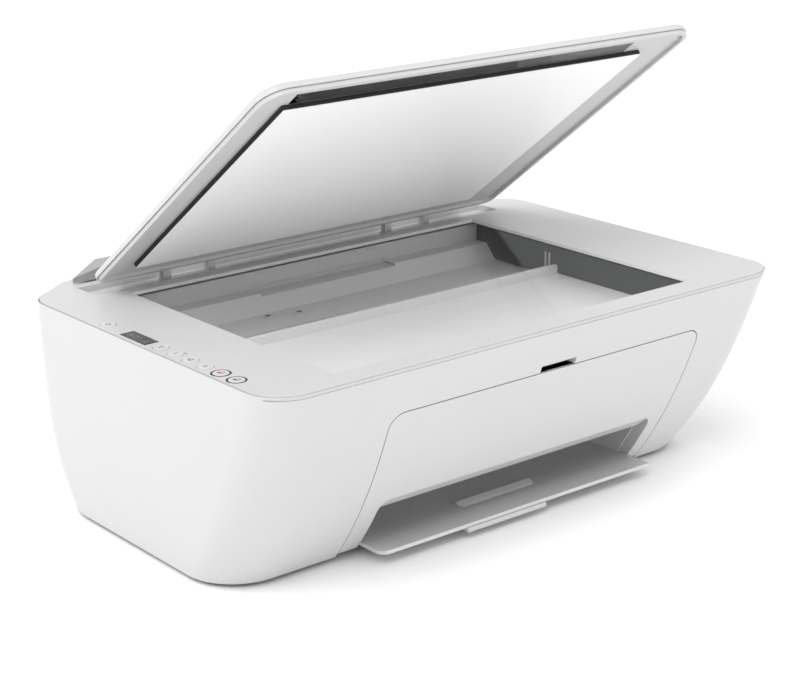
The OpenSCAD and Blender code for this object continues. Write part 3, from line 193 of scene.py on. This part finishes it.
def moulded(name, colour, roughness, grain=0.00003, coat=0.0, shift=0.03, painted_band=None, painted_fade=None):
    """Injection moulded plastic: fine spark-eroded grain, faint flow shading and handling marks.

    painted_band is (low y, high y, gain) in metres: painted light or shade, the colour is made lighter
    or darker between the two depths.
    painted_fade is (low y, high y, gain): painted light or shade that comes on evenly between the two
    depths and stays."""
    m = Finish(name)
    flow = m.noise(7.0, 2.0, 0.55, (1.0, 1.0, 2.2))
    cloud = m.noise(38.0, 4.0, 0.6)
    fine = m.noise(GRAIN_SCALE, 2.0, 0.6)
    pits = m.noise(GRAIN_SCALE * 0.37, 3.0, 0.7)
    tone = m.mix(flow * 0.7 + cloud * 0.3,
                 scaled(colour, 1.0 - shift), scaled(colour, 1.0 + shift * 0.4))
    speck = m.node("ShaderNodeValToRGB", {"stops": [(0.0, 1.0), (0.72, 1.0), (0.8, 0.965)]},
                   {0: m.noise(620.0, 2.0, 0.4)}).out()
    # painted light or shade: the colour is made lighter or darker between two depths
    if painted_band:
        _, y, _ = m.axes()
        inside = (y > painted_band[0]) * (y < painted_band[1])
        tone = m.mix(inside, tone, m.mix(cloud, scaled(colour, painted_band[2] * 0.97), scaled(colour, painted_band[2])))
    # painted light or shade that comes on evenly with depth
    if painted_fade:
        _, y, _ = m.axes()
        along = ((y - painted_fade[0]) / (painted_fade[1] - painted_fade[0])).low(1.0).high(0.0)
        tone = m.mix(along, tone, scaled(colour, painted_fade[2]))
    m.set(Base_Color=m.mix(1.0, tone, speck, "MULTIPLY"),
          Roughness=roughness + (cloud - 0.5) * 0.10 + (fine - 0.5) * 0.06,
          IOR=PLASTIC_IOR)
    if coat:
        m.set(Coat_Weight=coat, Coat_Roughness=0.18)
    m.bump(fine * 0.6 + pits * 0.4, grain, 0.7)
    return m.material


def clear_glass(name, tint):
    """Flat float glass: looks straight through, mirrors the lid at low angles."""
    m = Finish(name)
    smear = m.noise(11.0, 3.0, 0.6)
    m.set(Base_Color=m.mix(smear, scaled(tint, 0.94), tint), Roughness=0.015 + smear * 0.035,
          IOR=GLASS_IOR, Metallic=1.0)
    clear = m.node("ShaderNodeBsdfTransparent", inputs={"Color": GLASS_BODY})
    sheen = m.node("ShaderNodeFresnel", inputs={"IOR": GLASS_IOR}).out()
    inside = m.node("ShaderNodeNewGeometry").out("Backfacing")
    blend = m.node("ShaderNodeMixShader", inputs={
        0: (sheen * GLASS_SHEEN + smear * 0.004).low(0.85) * (1.0 - inside), 1: clear.out()})
    m.tree.links.new(m.shader.outputs[0], blend.node.inputs[2])
    m.tree.links.new(blend.node.outputs[0], m.output.inputs["Surface"])
    return m.material


def foam(name, colour):
    """Open-cell foam: pitted skin with soft hollows."""
    m = Finish(name)
    cells = m.node("ShaderNodeTexVoronoi", {"feature": "F1"},
                   {"Vector": m.place, "Scale": 900.0}).out("Distance")
    cloud = m.noise(60.0, 3.0)
    m.set(Base_Color=m.mix(cells * 0.8 + cloud * 0.4, scaled(colour, 0.55), scaled(colour, 1.5)),
          Roughness=0.86 + cloud * 0.1)
    m.bump(cells, 0.0004, 0.8)
    return m.material


def backing_sheet(name, colour):
    """Smooth white sheet with a faint fibre texture and soft sheen."""
    m = Finish(name)
    fibre = m.noise(900.0, 3.0, 0.6, (1.0, 3.0, 3.0))
    cloud = m.noise(5.0, 2.0, 0.5)
    m.set(Base_Color=m.mix(cloud, scaled(colour, 0.97), colour),
          Roughness=0.3 + (cloud - 0.5) * 0.08 + fibre * 0.05)
    m.bump(fibre + cloud * 0.5, 0.00002, 0.5)
    return m.material


def rubber(name, colour):
    """Moulded rubber with a dusty bloom."""
    m = Finish(name)
    dust = m.noise(90.0, 4.0, 0.65)
    fine = m.noise(1600.0, 2.0)
    m.set(Base_Color=m.mix(dust, scaled(colour, 0.8), scaled(colour, 1.7)), Roughness=0.68 + dust * 0.2)
    m.bump(fine * 0.7 + dust * 0.3, 0.00008, 0.6)
    return m.material


def metal(name, colour, roughness):
    """Rolled or turned metal with fine drawn lines."""
    m = Finish(name)
    lines = m.noise(260.0, 3.0, 0.6, (1.0, 40.0, 40.0))
    cloud = m.noise(22.0, 3.0)
    m.set(Base_Color=m.mix(lines * 0.6 + cloud * 0.4, scaled(colour, 0.84), scaled(colour, 1.08)),
          Metallic=1.0, Roughness=roughness + (lines - 0.5) * 0.16 + (cloud - 0.5) * 0.1)
    m.bump(lines, 0.00001, 0.5)
    return m.material


def circuit_board(name, colour):
    """Lacquered board with copper traces and pads under the lacquer."""
    m = Finish(name)
    grid = m.node("ShaderNodeTexBrick", {"offset": 0.35, "squash": 0.7}, {
        "Vector": m.place, "Color1": (1, 1, 1, 1), "Color2": (0.7, 0.7, 0.7, 1), "Mortar": (0, 0, 0, 1),
        "Scale": 150.0, "Mortar Size": 0.05, "Brick Width": 1.1, "Row Height": 0.32}).out("Fac")
    pads = m.node("ShaderNodeTexVoronoi", {"feature": "F1"},
                  {"Vector": m.place, "Scale": 260.0}).out("Distance")
    copper = (grid * 0.6 + (pads < 0.16) * 0.5).low(1.0)
    m.set(Base_Color=m.mix(copper, colour, scaled(colour, 2.1)), Roughness=0.3 + copper * 0.12)
    m.bump(copper, 0.00003, 0.8)
    return m.material


def display_glass(name, low_corner, high_corner):
    """Smoked window with dim segments of a liquid crystal display behind it."""
    m = Finish(name)
    x, y, _ = m.axes()
    wide = high_corner[0] - low_corner[0]
    deep = high_corner[1] - low_corner[1]
    u = (x - low_corner[0]) / wide
    v = (y - low_corner[1]) / deep
    inside = (abs(u - 0.5) < 0.37) * (abs(v - 0.5) < 0.42)
    cells = m.node("ShaderNodeTexBrick", {"offset": 0.0}, {
        "Vector": m.place, "Color1": (1, 1, 1, 1), "Color2": (0.15, 0.15, 0.15, 1),
        "Mortar": (0, 0, 0, 1), "Scale": 1.0, "Mortar Size": 0.0005, "Brick Width": DISPLAY_CELL[0],
        "Row Height": DISPLAY_CELL[1], "Bias": -0.2})
    lit = m.node("ShaderNodeRGBToBW", inputs={0: cells.out("Color")}).out()
    smear = m.noise(160.0, 3.0)
    panel = m.mix(inside, (0.03, 0.03, 0.032), (0.07, 0.075, 0.075))
    m.set(Base_Color=m.mix(inside * lit * 0.75, panel, (0.2, 0.21, 0.21)),
          Roughness=0.09 + smear * 0.08, IOR=GLASS_IOR)
    m.bump(smear, 0.000008, 0.4)
    return m.material


class Palette:
    """The printer's finishes, by material slot."""

    def __init__(self):
        c = bpy.context.scene.printer_colours
        tray_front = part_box("output_tray")[0][1]
        self.by_slot = {
            "white_shell": moulded("Satin white shell", c.shell, 0.36, coat=0.08),
            "white_gloss": moulded("Smooth white cover", c.shell, 0.3, grain=0.000015, coat=0.12),
            "white_inner": moulded("Plain white inner moulding", c.inner, 0.45, shift=0.05),
            # the rear of the pan, behind the rail, is darkened to 0.68 of its white: painted shade under
            # the lid
            "tub": moulded("Scanner pan", c.pan, 0.5, shift=0.05, painted_band=(2.5 * MM, 200 * MM, 0.68)),
            "button_white": moulded("Button caps", c.button, 0.32, grain=0.00001, coat=0.1),
            "glass": clear_glass("Scanner glass", c.glass),
            "lid_pad": foam("Black foam", c.foam),
            "lid_backing": backing_sheet("White backing sheet", c.sheet),
            "display": display_glass("Display window", *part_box("display_window")),
            "dark_trim": moulded("Dark grey moulding", c.trim, 0.5, shift=0.1),
            "cartridge": moulded("Cartridge shell", c.trim, 0.28, shift=0.08),
            "tray_grey": moulded("Grey tray", c.tray, 0.42, grain=0.00005, shift=0.06),
            # painted light: the tray's front edge is lightened as a painted highlight, and the deep part
            # is lightened towards the back against its shadow
            "tray": moulded("Exit tray", c.tray, 0.42, grain=0.00005, shift=0.06,
                            painted_band=(-1.0, tray_front + 0.5 * MM, 1.15),
                            painted_fade=(tray_front + 20 * MM, tray_front + 90 * MM, 1.9)),
            # the cap is the shell's white darkened to 0.58 as painted shade
            "cap": moulded("Rear support cap in painted shade", scaled(c.shell, 0.58), 0.4, grain=0.000015),
            "red_mark": moulded("Red print", c.red, 0.4, grain=0.000005),
            "grey_mark": moulded("Grey print", c.mark, 0.4, grain=0.000005),
            "board": circuit_board("Circuit board", c.board),
            "steel": metal("Sheet steel", c.steel, 0.34),
            "rubber": rubber("Black rubber", c.rubber),
            "film": moulded("Clear film", (0.66, 0.66, 0.64), 0.2, grain=0.000005),
            "brass": metal("Machined brass", (0.78, 0.58, 0.28), 0.25),
            "supply": moulded("Power supply case", scaled(c.trim, 0.8), 0.55, shift=0.1),
        }


PALETTE = {}


def finish(slot):
    if "all" not in PALETTE:
        PALETTE["all"] = Palette()
    return PALETTE["all"].by_slot[slot]


def slot_of(node):
    for part in frame["record"]["subparts"]:
        if part["node"] == node:
            return part["material_slot"]
    raise ValueError(node)


def body_of(node):
    for body, nodes in frame["record"]["behaviour"]["bodies"].items():
        if node in nodes:
            return body
    raise ValueError(node)


# ---------------------------------------------------------------- modelling helpers

EDGE_ANGLE = math.radians(32.0)                  # sharper corners are rounded
SMOOTH_ANGLE = math.radians(38.0)                # softer corners are shaded as one surface
FLAT_ANGLE = math.radians(0.4)                   # faces this close to flat are joined
MERGE_DISTANCE = 0.002 * MM


def select_only(piece):
    if bpy.context.object and bpy.context.object.mode != "OBJECT":
        bpy.ops.object.mode_set(mode="OBJECT")
    bpy.ops.object.select_all(action="DESELECT")
    piece.select_set(True)
    bpy.context.view_layer.objects.active = piece


def apply_modifier(piece, kind, **settings):
    select_only(piece)
    modifier = piece.modifiers.new(kind.title(), kind)
    for key, value in settings.items():
        setattr(modifier, key, value)
    bpy.ops.object.modifier_apply(modifier=modifier.name)


def rounded_edges(piece, width, segments=2):
    apply_modifier(piece, "BEVEL", width=width, segments=segments, limit_method="ANGLE",
                   angle_limit=EDGE_ANGLE, use_clamp_overlap=True, harden_normals=False,
                   miter_outer="MITER_ARC")
    smoothed(piece)


def smoothed(piece):
    select_only(piece)
    bpy.ops.object.shade_smooth_by_angle(angle=SMOOTH_ANGLE)
    apply_modifier(piece, "WEIGHTED_NORMAL", keep_sharp=True, weight=50)


def paint(piece, material):
    piece.data.materials.clear()
    piece.data.materials.append(material)


def finished_copy(node, width, segments, look=None):
    """A copy of a CAD piece with its corners softened, shown in its place."""
    source = frame["nodes"][node]
    piece = source.copy()
    piece.data = source.data.copy()
    piece.name = node + "_finished"
    bpy.context.scene.collection.objects.link(piece)
    piece.parent = None
    piece.matrix_world = Matrix.Identity(4)
    select_only(piece)
    bpy.ops.object.mode_set(mode="EDIT")
    bpy.ops.mesh.select_all(action="SELECT")
    bpy.ops.mesh.remove_doubles(threshold=MERGE_DISTANCE)
    bpy.ops.mesh.dissolve_limited(angle_limit=FLAT_ANGLE, use_dissolve_boundaries=False)
    bpy.ops.object.mode_set(mode="OBJECT")
    rounded_edges(piece, width, segments)
    paint(piece, finish(look or slot_of(node)))
    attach(piece, body_of(node))
    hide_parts(node)
    return piece


def dress(node, look=None):
    """Gives a CAD piece that stays in view its finish."""
    piece = frame["nodes"][node]
    for place in piece.material_slots:
        place.material = finish(look or slot_of(node))


def block(name, low, high, body, slot, width):
    """A moulded bar between two corners, with soft edges."""
    bpy.ops.object.select_all(action="DESELECT")
    centre = (Vector(low) + Vector(high)) / 2
    size = Vector(high) - Vector(low)
    bpy.ops.mesh.primitive_cube_add(size=1.0, location=centre)
    piece = bpy.context.object
    piece.name = name
    piece.scale = size
    bpy.ops.object.transform_apply(location=True, rotation=True, scale=True)
    rounded_edges(piece, width)
    return placed(piece, body, slot)


def placed(piece, body, slot, look=None):
    paint(piece, finish(look or slot))
    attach(piece, body)
    return piece


def bar(centre, size, turn=0.0):
    """A small flat bar of print, turned about the vertical."""
    bpy.ops.object.select_all(action="DESELECT")
    bpy.ops.mesh.primitive_cube_add(size=1.0, location=centre, rotation=(0, 0, math.radians(turn)))
    piece = bpy.context.object
    piece.scale = size
    bpy.ops.object.transform_apply(location=True, rotation=True, scale=True)
    return piece


def disc(centre, radius, height, sides):
    bpy.ops.object.select_all(action="DESELECT")
    bpy.ops.mesh.primitive_cylinder_add(vertices=sides, radius=radius, depth=height, location=centre)
    piece = bpy.context.object
    bpy.ops.object.transform_apply(location=True, rotation=True, scale=True)
    return piece


def without(piece, *tools):
    """The piece with other solids cut out of it."""
    for tool in tools:
        apply_modifier(piece, "BOOLEAN", operation="DIFFERENCE", object=tool, solver="EXACT")
        bpy.data.objects.remove(tool, do_unlink=True)
    return piece


def screw_head(name, x, y, floor):
    """A small dark pan-head screw with a cross recess, standing on the piece below it."""
    tree = BVHTree.FromPolygons([corner.co for corner in floor.data.vertices],
                                [face.vertices for face in floor.data.polygons])
    spot = tree.ray_cast(Vector((x, y, 1.0)), Vector((0.0, 0.0, -1.0)))[0]
    if spot is None:
        raise ValueError(name)
    top = spot.z + 0.9 * MM
    head = without(disc((x, y, spot.z + 0.4 * MM), 1.9 * MM, 1.0 * MM, 32),
                   bar((x, y, top), (2.4 * MM, 0.5 * MM, 1.0 * MM), 20),
                   bar((x, y, top), (0.5 * MM, 2.4 * MM, 1.0 * MM), 20))
    head.name = name
    rounded_edges(head, 0.00012, 2)
    return placed(head, HOUSING, "steel", "supply")


def joined(name, pieces):
    bpy.ops.object.select_all(action="DESELECT")
    for piece in pieces:
        piece.select_set(True)
    bpy.context.view_layer.objects.active = pieces[0]
    bpy.ops.object.join()
    piece = bpy.context.object
    piece.name = name
    bpy.ops.object.transform_apply(location=True, rotation=True, scale=True)
    return piece


# ---------------------------------------------------------------- sizes and colours

class PrinterSizes(PropertyGroup):
    shell_edge: FloatProperty(name="Shell edge", description="Rounding of the housing's edges",
                              default=0.00035, min=0.0001, max=0.003, unit="LENGTH", subtype="DISTANCE")
    small_edge: FloatProperty(name="Small edge", description="Rounding of small parts' edges",
                              default=0.0003, min=0.0001, max=0.002, unit="LENGTH", subtype="DISTANCE")
    foam_crown: FloatProperty(name="Foam crown", description="How far the foam's sides bulge",
                              default=0.0008, min=0.0, max=0.002, unit="LENGTH", subtype="DISTANCE")
    mark_height: FloatProperty(name="Mark height", description="Height of the printed marks",
                               default=0.00008, min=0.00002, max=0.0003,
                               unit="LENGTH", subtype="DISTANCE")
    mark_sides: IntProperty(name="Mark sides", description="Segments in the round marks",
                            default=40, min=16, max=96)


def shade(name, description, default):
    return FloatVectorProperty(name=name, description=description, default=default, size=3,
                               min=0.0, max=1.0, subtype="COLOR")


class PrinterColours(PropertyGroup):
    shell: shade("Shell", "White of the housing and the lid", (0.58, 0.58, 0.58))
    inner: shade("Inner mouldings", "White of the lid's frame and plain inner parts",
                 (0.56, 0.56, 0.56))
    pan: shade("Scanner pan", "White of the pan under the glass", (0.78, 0.78, 0.78))
    button: shade("Buttons", "White of the button caps", (0.62, 0.62, 0.62))
    glass: shade("Glass", "Tint of the scanner's glass", (0.9, 0.93, 0.93))
    foam: shade("Foam", "Black of the foam pad", (0.018, 0.018, 0.018))
    sheet: shade("Backing sheet", "White of the lid's backing sheet", (0.92, 0.92, 0.92))
    trim: shade("Dark trim", "Dark grey of trim and inner mouldings", (0.045, 0.045, 0.048))
    tray: shade("Paper tray", "Grey of the exit tray", (0.53, 0.532, 0.535))
    board: shade("Circuit boards", "Green of the circuit boards", (0.02, 0.13, 0.06))
    steel: shade("Steel", "Grey of the sheet steel", (0.6, 0.61, 0.62))
    mark: shade("Marks", "Grey of the printed marks", (0.12, 0.12, 0.13))
    red: shade("Red mark", "Red of the colour key's mark", (0.45, 0.07, 0.09))
    rubber: shade("Rubber", "Black of feet and rollers", (0.025, 0.025, 0.025))


# ---------------------------------------------------------------- operators

PAN_T = 2.5 * MM                                 # wall of the scanner's pan
END_STRIP_T = 1.6 * MM                              # dark strip on the pan's end wall
END_STRIP_MARGIN = 4 * MM
END_STRIP_DEPTH = 23 * MM
PAN_SCREWS = {"pan_screw_left": (-67, 58), "pan_screw_right": (-45, 52)}   # mm


class PRINTER_OT_housing(Operator):
    """Finish the outer shell, rear housing, bottom pan and feet"""
    bl_idname = "printer.housing"
    bl_label = "Housing"

    def execute(self, context):
        s = context.scene.printer_sizes
        finished_copy("outer_shell", s.shell_edge, 2)
        finished_copy("rear_cover", s.shell_edge, 2)
        finished_copy("base_pan", s.small_edge, 1)
        finished_copy("feet", s.small_edge, 2)
        dress("case_screws")
        return {"FINISHED"}


class PRINTER_OT_scanner(Operator):
    """Finish the scanner's top frame, glass, inner pan and scan bar"""
    bl_idname = "printer.scanner"
    bl_label = "Scanner"

    def execute(self, context):
        s = context.scene.printer_sizes
        finished_copy("scan_bezel", s.shell_edge, 2)
        finished_copy("scanner_tub", s.small_edge, 2, "tub")
        finished_copy("scanner_glass", s.small_edge, 1)
        finished_copy("scan_bar", s.small_edge, 2)
        finished_copy("scan_carrier", s.small_edge, 1)
        for node in ("scan_bar_window", "scan_motor", "scan_pinion", "scan_ribbon"):
            dress(node)
        low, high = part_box("scanner_tub")
        wall = high[0] - PAN_T
        # a dark strip along the pan's right end wall
        block("dark_end_strip", (wall - END_STRIP_T, low[1] + END_STRIP_MARGIN, high[2] - END_STRIP_DEPTH),
              (wall - 0.1 * MM, high[1] - END_STRIP_MARGIN, high[2] - 0.4 * MM),
              HOUSING, "dark_trim", 0.3 * MM)
        for name, (x, y) in PAN_SCREWS.items():
            screw_head(name, x * MM, y * MM, frame["nodes"]["scanner_tub"])
        return {"FINISHED"}


def print_mark(key, s):
    """A plain generic mark, printed on a key."""
    low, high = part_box(key + "_button")
    x, y, top = (low[0] + high[0]) / 2, (low[1] + high[1]) / 2, high[2]
    tall, thin = s.mark_height * 2, 0.42 * MM
    cutter = tall * 6

    def at(dx, dy):
        return (x + dx * MM, y + dy * MM, top)

    def ring(dx, dy, radius, sides=s.mark_sides):
        return without(disc(at(dx, dy), radius * MM, tall, sides),
                       disc(at(dx, dy), radius * MM - thin, cutter, sides))

    def sheet(dx, dy, wide, deep):
        return without(bar(at(dx, dy), (wide * MM, deep * MM, tall)),
                       bar(at(dx, dy), (wide * MM - 2 * thin, deep * MM - 2 * thin, cutter)))

    if key == "power":
        shapes = [without(ring(0, 0, 1.9), bar(at(1.4, 0), (2.2 * MM, 1.7 * MM, cutter))),
                  bar(at(1.3, 0), (1.9 * MM, thin, tall))]
    elif key == "wireless":
        shapes = [disc(at(-1.1, 0), 0.5 * MM, tall, s.mark_sides)]
        for radius in (1.6, 2.7):
            shapes.append(without(ring(-1.1, 0, radius), bar(at(-2.6, 0), (5.0 * MM, 8.0 * MM, cutter)),
                                  bar(at(0.4, 3.6), (6 * MM, 4 * MM, cutter)),
                                  bar(at(0.4, -3.6), (6 * MM, 4 * MM, cutter))))
    elif key == "info":
        shapes = [disc(at(1.7, 0), 0.42 * MM, tall, s.mark_sides),
                  bar(at(-0.4, 0), (2.6 * MM, 0.6 * MM, tall))]
    elif key == "resume":
        shapes = [sheet(0, -0.6, 3.2, 2.3), bar(at(0.6, 1.5), (1.6 * MM, thin, tall), 40),
                  bar(at(-0.6, 1.5), (1.6 * MM, thin, tall), -40)]
    elif key == "cancel":
        shapes = [bar(at(0, 0), (3.6 * MM, thin * 1.2, tall), turn) for turn in (45, -45)]
    else:
        shapes = [sheet(0.5, -0.7, 3.2, 2.4), bar(at(-0.8, 0.9), (2.2 * MM, 2.0 * MM, tall))]
    piece = joined(key + "_mark", shapes)
    smoothed(piece)
    placed(piece, body_of(key + "_button"), "dark_trim",
           "red_mark" if key == "color_copy" else "grey_mark")


class PRINTER_OT_controls(Operator):
    """Finish the buttons, their printed marks, the rings and the display"""
    bl_idname = "printer.controls"
    bl_label = "Controls"

    def execute(self, context):
        s = context.scene.printer_sizes
        for key in ("power", "wireless", "info", "resume", "cancel", "color_copy", "black_copy"):
            finished_copy(key + "_button", s.small_edge, 3)
            print_mark(key, s)
        finished_copy("copy_button_rings", 0.0001, 1)
        finished_copy("display_window", 0.0002, 2)
        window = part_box("display_window")
        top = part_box("scan_bezel")[1][2]
        x = (window[0][0] + window[1][0]) / 2
        light = disc((x + 4.8 * MM, window[0][1] - 30 * MM, top), 0.7 * MM, 0.16 * MM,
                     s.mark_sides)
        light.name = "status_light"
        rounded_edges(light, 0.00005, 1)
        placed(light, HOUSING, "display", "grey_mark")
        dress("panel_board")
        return {"FINISHED"}


class PRINTER_OT_lid(Operator):
    """Finish the lid, its foam pad and backing sheet, and its hinges"""
    bl_idname = "printer.lid"
    bl_label = "Lid"

    def execute(self, context):
        s = context.scene.printer_sizes
        finished_copy("lid_shell", s.small_edge, 2)
        finished_copy("lid_frame", s.shell_edge, 2)
        finished_copy("lid_sheet", 0.00015, 1)
        finished_copy("hinge_bracket_left", s.small_edge, 2)
        finished_copy("hinge_bracket_right", s.small_edge, 2)
        pad = finished_copy("lid_foam", s.foam_crown, 4)
        return {"FINISHED"}


class PRINTER_OT_door(Operator):
    """Finish the front door"""
    bl_idname = "printer.door"
    bl_label = "Front door"

    def execute(self, context):
        finished_copy("ink_door", context.scene.printer_sizes.shell_edge, 3)
        return {"FINISHED"}


class PRINTER_OT_trays(Operator):
    """Finish the paper exit tray and the rear sheet support"""
    bl_idname = "printer.trays"
    bl_label = "Paper trays"

    def execute(self, context):
        s = context.scene.printer_sizes
        finished_copy("output_tray", s.small_edge, 2, "tray")
        finished_copy("tray_extender", s.small_edge, 2)
        # the cap finish is the shell's white with painted shade
        finished_copy("rear_tray", s.shell_edge, 2, "cap")
        finished_copy("rear_tray_extension", s.small_edge, 2)
        finished_copy("width_guide", s.small_edge, 2)
        return {"FINISHED"}


class PRINTER_OT_engine(Operator):
    """Give the print engine and the electronics their finishes"""
    bl_idname = "printer.engine"
    bl_label = "Print engine"

    def execute(self, context):
        for node in ("print_chassis", "carriage_rod", "encoder_strip", "carriage_motor",
                     "carriage_belt", "feed_motor", "service_station", "main_board",
                     "power_supply", "print_carriage", "color_cartridge", "black_cartridge",
                     "drive_pulley", "idler_pulley", "feed_roller", "feed_gear", "idler_gear",
                     "output_roller", "star_wheels", "motor_pinion", "pick_roller"):
            dress(node)
        dress("platen", "tray_grey")
        finished_copy("power_inlet", 0.0003, 2)
        finished_copy("usb_port", 0.0001, 1)
        return {"FINISHED"}


SKY_STRENGTH = 0.93
SUN_STRENGTH = 1.4
# place, aim, size and watts: a small box at the left side's back, a long one low in front
SOFT_BOXES = (((-1.0, 0.45, 0.4), (-0.21, 0.05, 0.08), (0.7, 0.7), 1.6),
              ((0.5, -2.7, 0.25), (0, 0, 0.12), (2.4, 0.5), 11.0))
CAMERA_PLACE = (-0.7935, -0.9887, 0.5053)
CAMERA_TARGET = (-0.01792, -0.02357, 0.11117)
CAMERA_ROLL = math.radians(-0.681)
CAMERA_LENS = 88.1                               # mm


class PRINTER_OT_stage(Operator):
    """Set the floor, the lights and the camera"""
    bl_idname = "printer.stage"
    bl_label = "Stage"

    def execute(self, context):
        bpy.ops.object.select_all(action="DESELECT")
        bpy.ops.mesh.primitive_plane_add(size=60.0, location=(0, 0, -0.0001))
        floor = context.object
        floor.name = "floor"
        m = Finish("Pale floor")
        cloud = m.noise(2.0, 2.0)
        m.set(Base_Color=m.mix(cloud, (0.93, 0.93, 0.93), (0.95, 0.95, 0.95)), Roughness=0.85)
        paint(floor, m.material)

        world = bpy.data.worlds.new("Soft studio")
        context.scene.world = world
        world.use_nodes = True
        sky = world.node_tree.nodes["Background"]
        sky.inputs["Color"].default_value = (1.0, 1.0, 1.0, 1.0)
        sky.inputs["Strength"].default_value = SKY_STRENGTH

        def aim(lamp, toward):
            lamp.rotation_euler = (Vector(toward) - lamp.location).to_track_quat("-Z", "Y").to_euler()

        bpy.ops.object.light_add(type="SUN", location=(-1.5, -0.75, 2.5))
        sun = context.object
        sun.data.energy = SUN_STRENGTH
        sun.data.angle = math.radians(40.0)
        aim(sun, (0, 0, 0))
        for place, toward, size, energy in SOFT_BOXES:
            bpy.ops.object.light_add(type="AREA", location=place)
            lamp = context.object
            lamp.data.shape = "RECTANGLE"
            lamp.data.size, lamp.data.size_y = size
            lamp.data.energy = energy
            aim(lamp, toward)

        eye = Vector(CAMERA_PLACE)
        forward = (Vector(CAMERA_TARGET) - eye).normalized()
        right = forward.cross(Vector((0, 0, 1))).normalized()
        up = right.cross(forward)
        roll = CAMERA_ROLL
        across = right * math.cos(roll) + up * math.sin(roll)
        above = up * math.cos(roll) - right * math.sin(roll)
        bpy.ops.object.camera_add()
        camera = context.object
        camera.matrix_world = Matrix((
            (across.x, above.x, -forward.x, eye.x), (across.y, above.y, -forward.y, eye.y),
            (across.z, above.z, -forward.z, eye.z), (0, 0, 0, 1)))
        camera.data.lens = CAMERA_LENS
        camera.data.sensor_width = 36.0
        camera.data.clip_start = 0.01
        camera.data.clip_end = 100.0
        context.scene.camera = camera
        context.scene.view_settings.view_transform = "Standard"
        return {"FINISHED"}


class PRINTER_PT_panel(Panel):
    """Lists the printer's pieces and their sizes and colours"""
    bl_label = "Printer"
    bl_idname = "PRINTER_PT_panel"
    bl_space_type = "VIEW_3D"
    bl_region_type = "UI"
    bl_category = "Printer"

    def draw(self, context):
        column = self.layout.column(align=True)
        for operator in OPERATORS:
            column.operator(operator.bl_idname)
        for group in (context.scene.printer_sizes, context.scene.printer_colours):
            box = self.layout.box()
            for key in group.__annotations__:
                box.prop(group, key)


OPERATORS = (PRINTER_OT_housing, PRINTER_OT_scanner, PRINTER_OT_controls, PRINTER_OT_lid,
             PRINTER_OT_door, PRINTER_OT_trays, PRINTER_OT_engine, PRINTER_OT_stage)
CLASSES = (PrinterSizes, PrinterColours, *OPERATORS, PRINTER_PT_panel)


def register():
    for cls in CLASSES:
        bpy.utils.register_class(cls)
    bpy.types.Scene.printer_sizes = PointerProperty(type=PrinterSizes)
    bpy.types.Scene.printer_colours = PointerProperty(type=PrinterColours)


def unregister():
    del bpy.types.Scene.printer_colours
    del bpy.types.Scene.printer_sizes
    for cls in reversed(CLASSES):
        bpy.utils.unregister_class(cls)


def main():
    register()
    bpy.ops.printer.housing()
    bpy.ops.printer.scanner()
    bpy.ops.printer.controls()
    bpy.ops.printer.lid()
    bpy.ops.printer.door()
    bpy.ops.printer.trays()
    bpy.ops.printer.engine()
    bpy.ops.printer.stage()


if __name__ == "__main__":
    main()
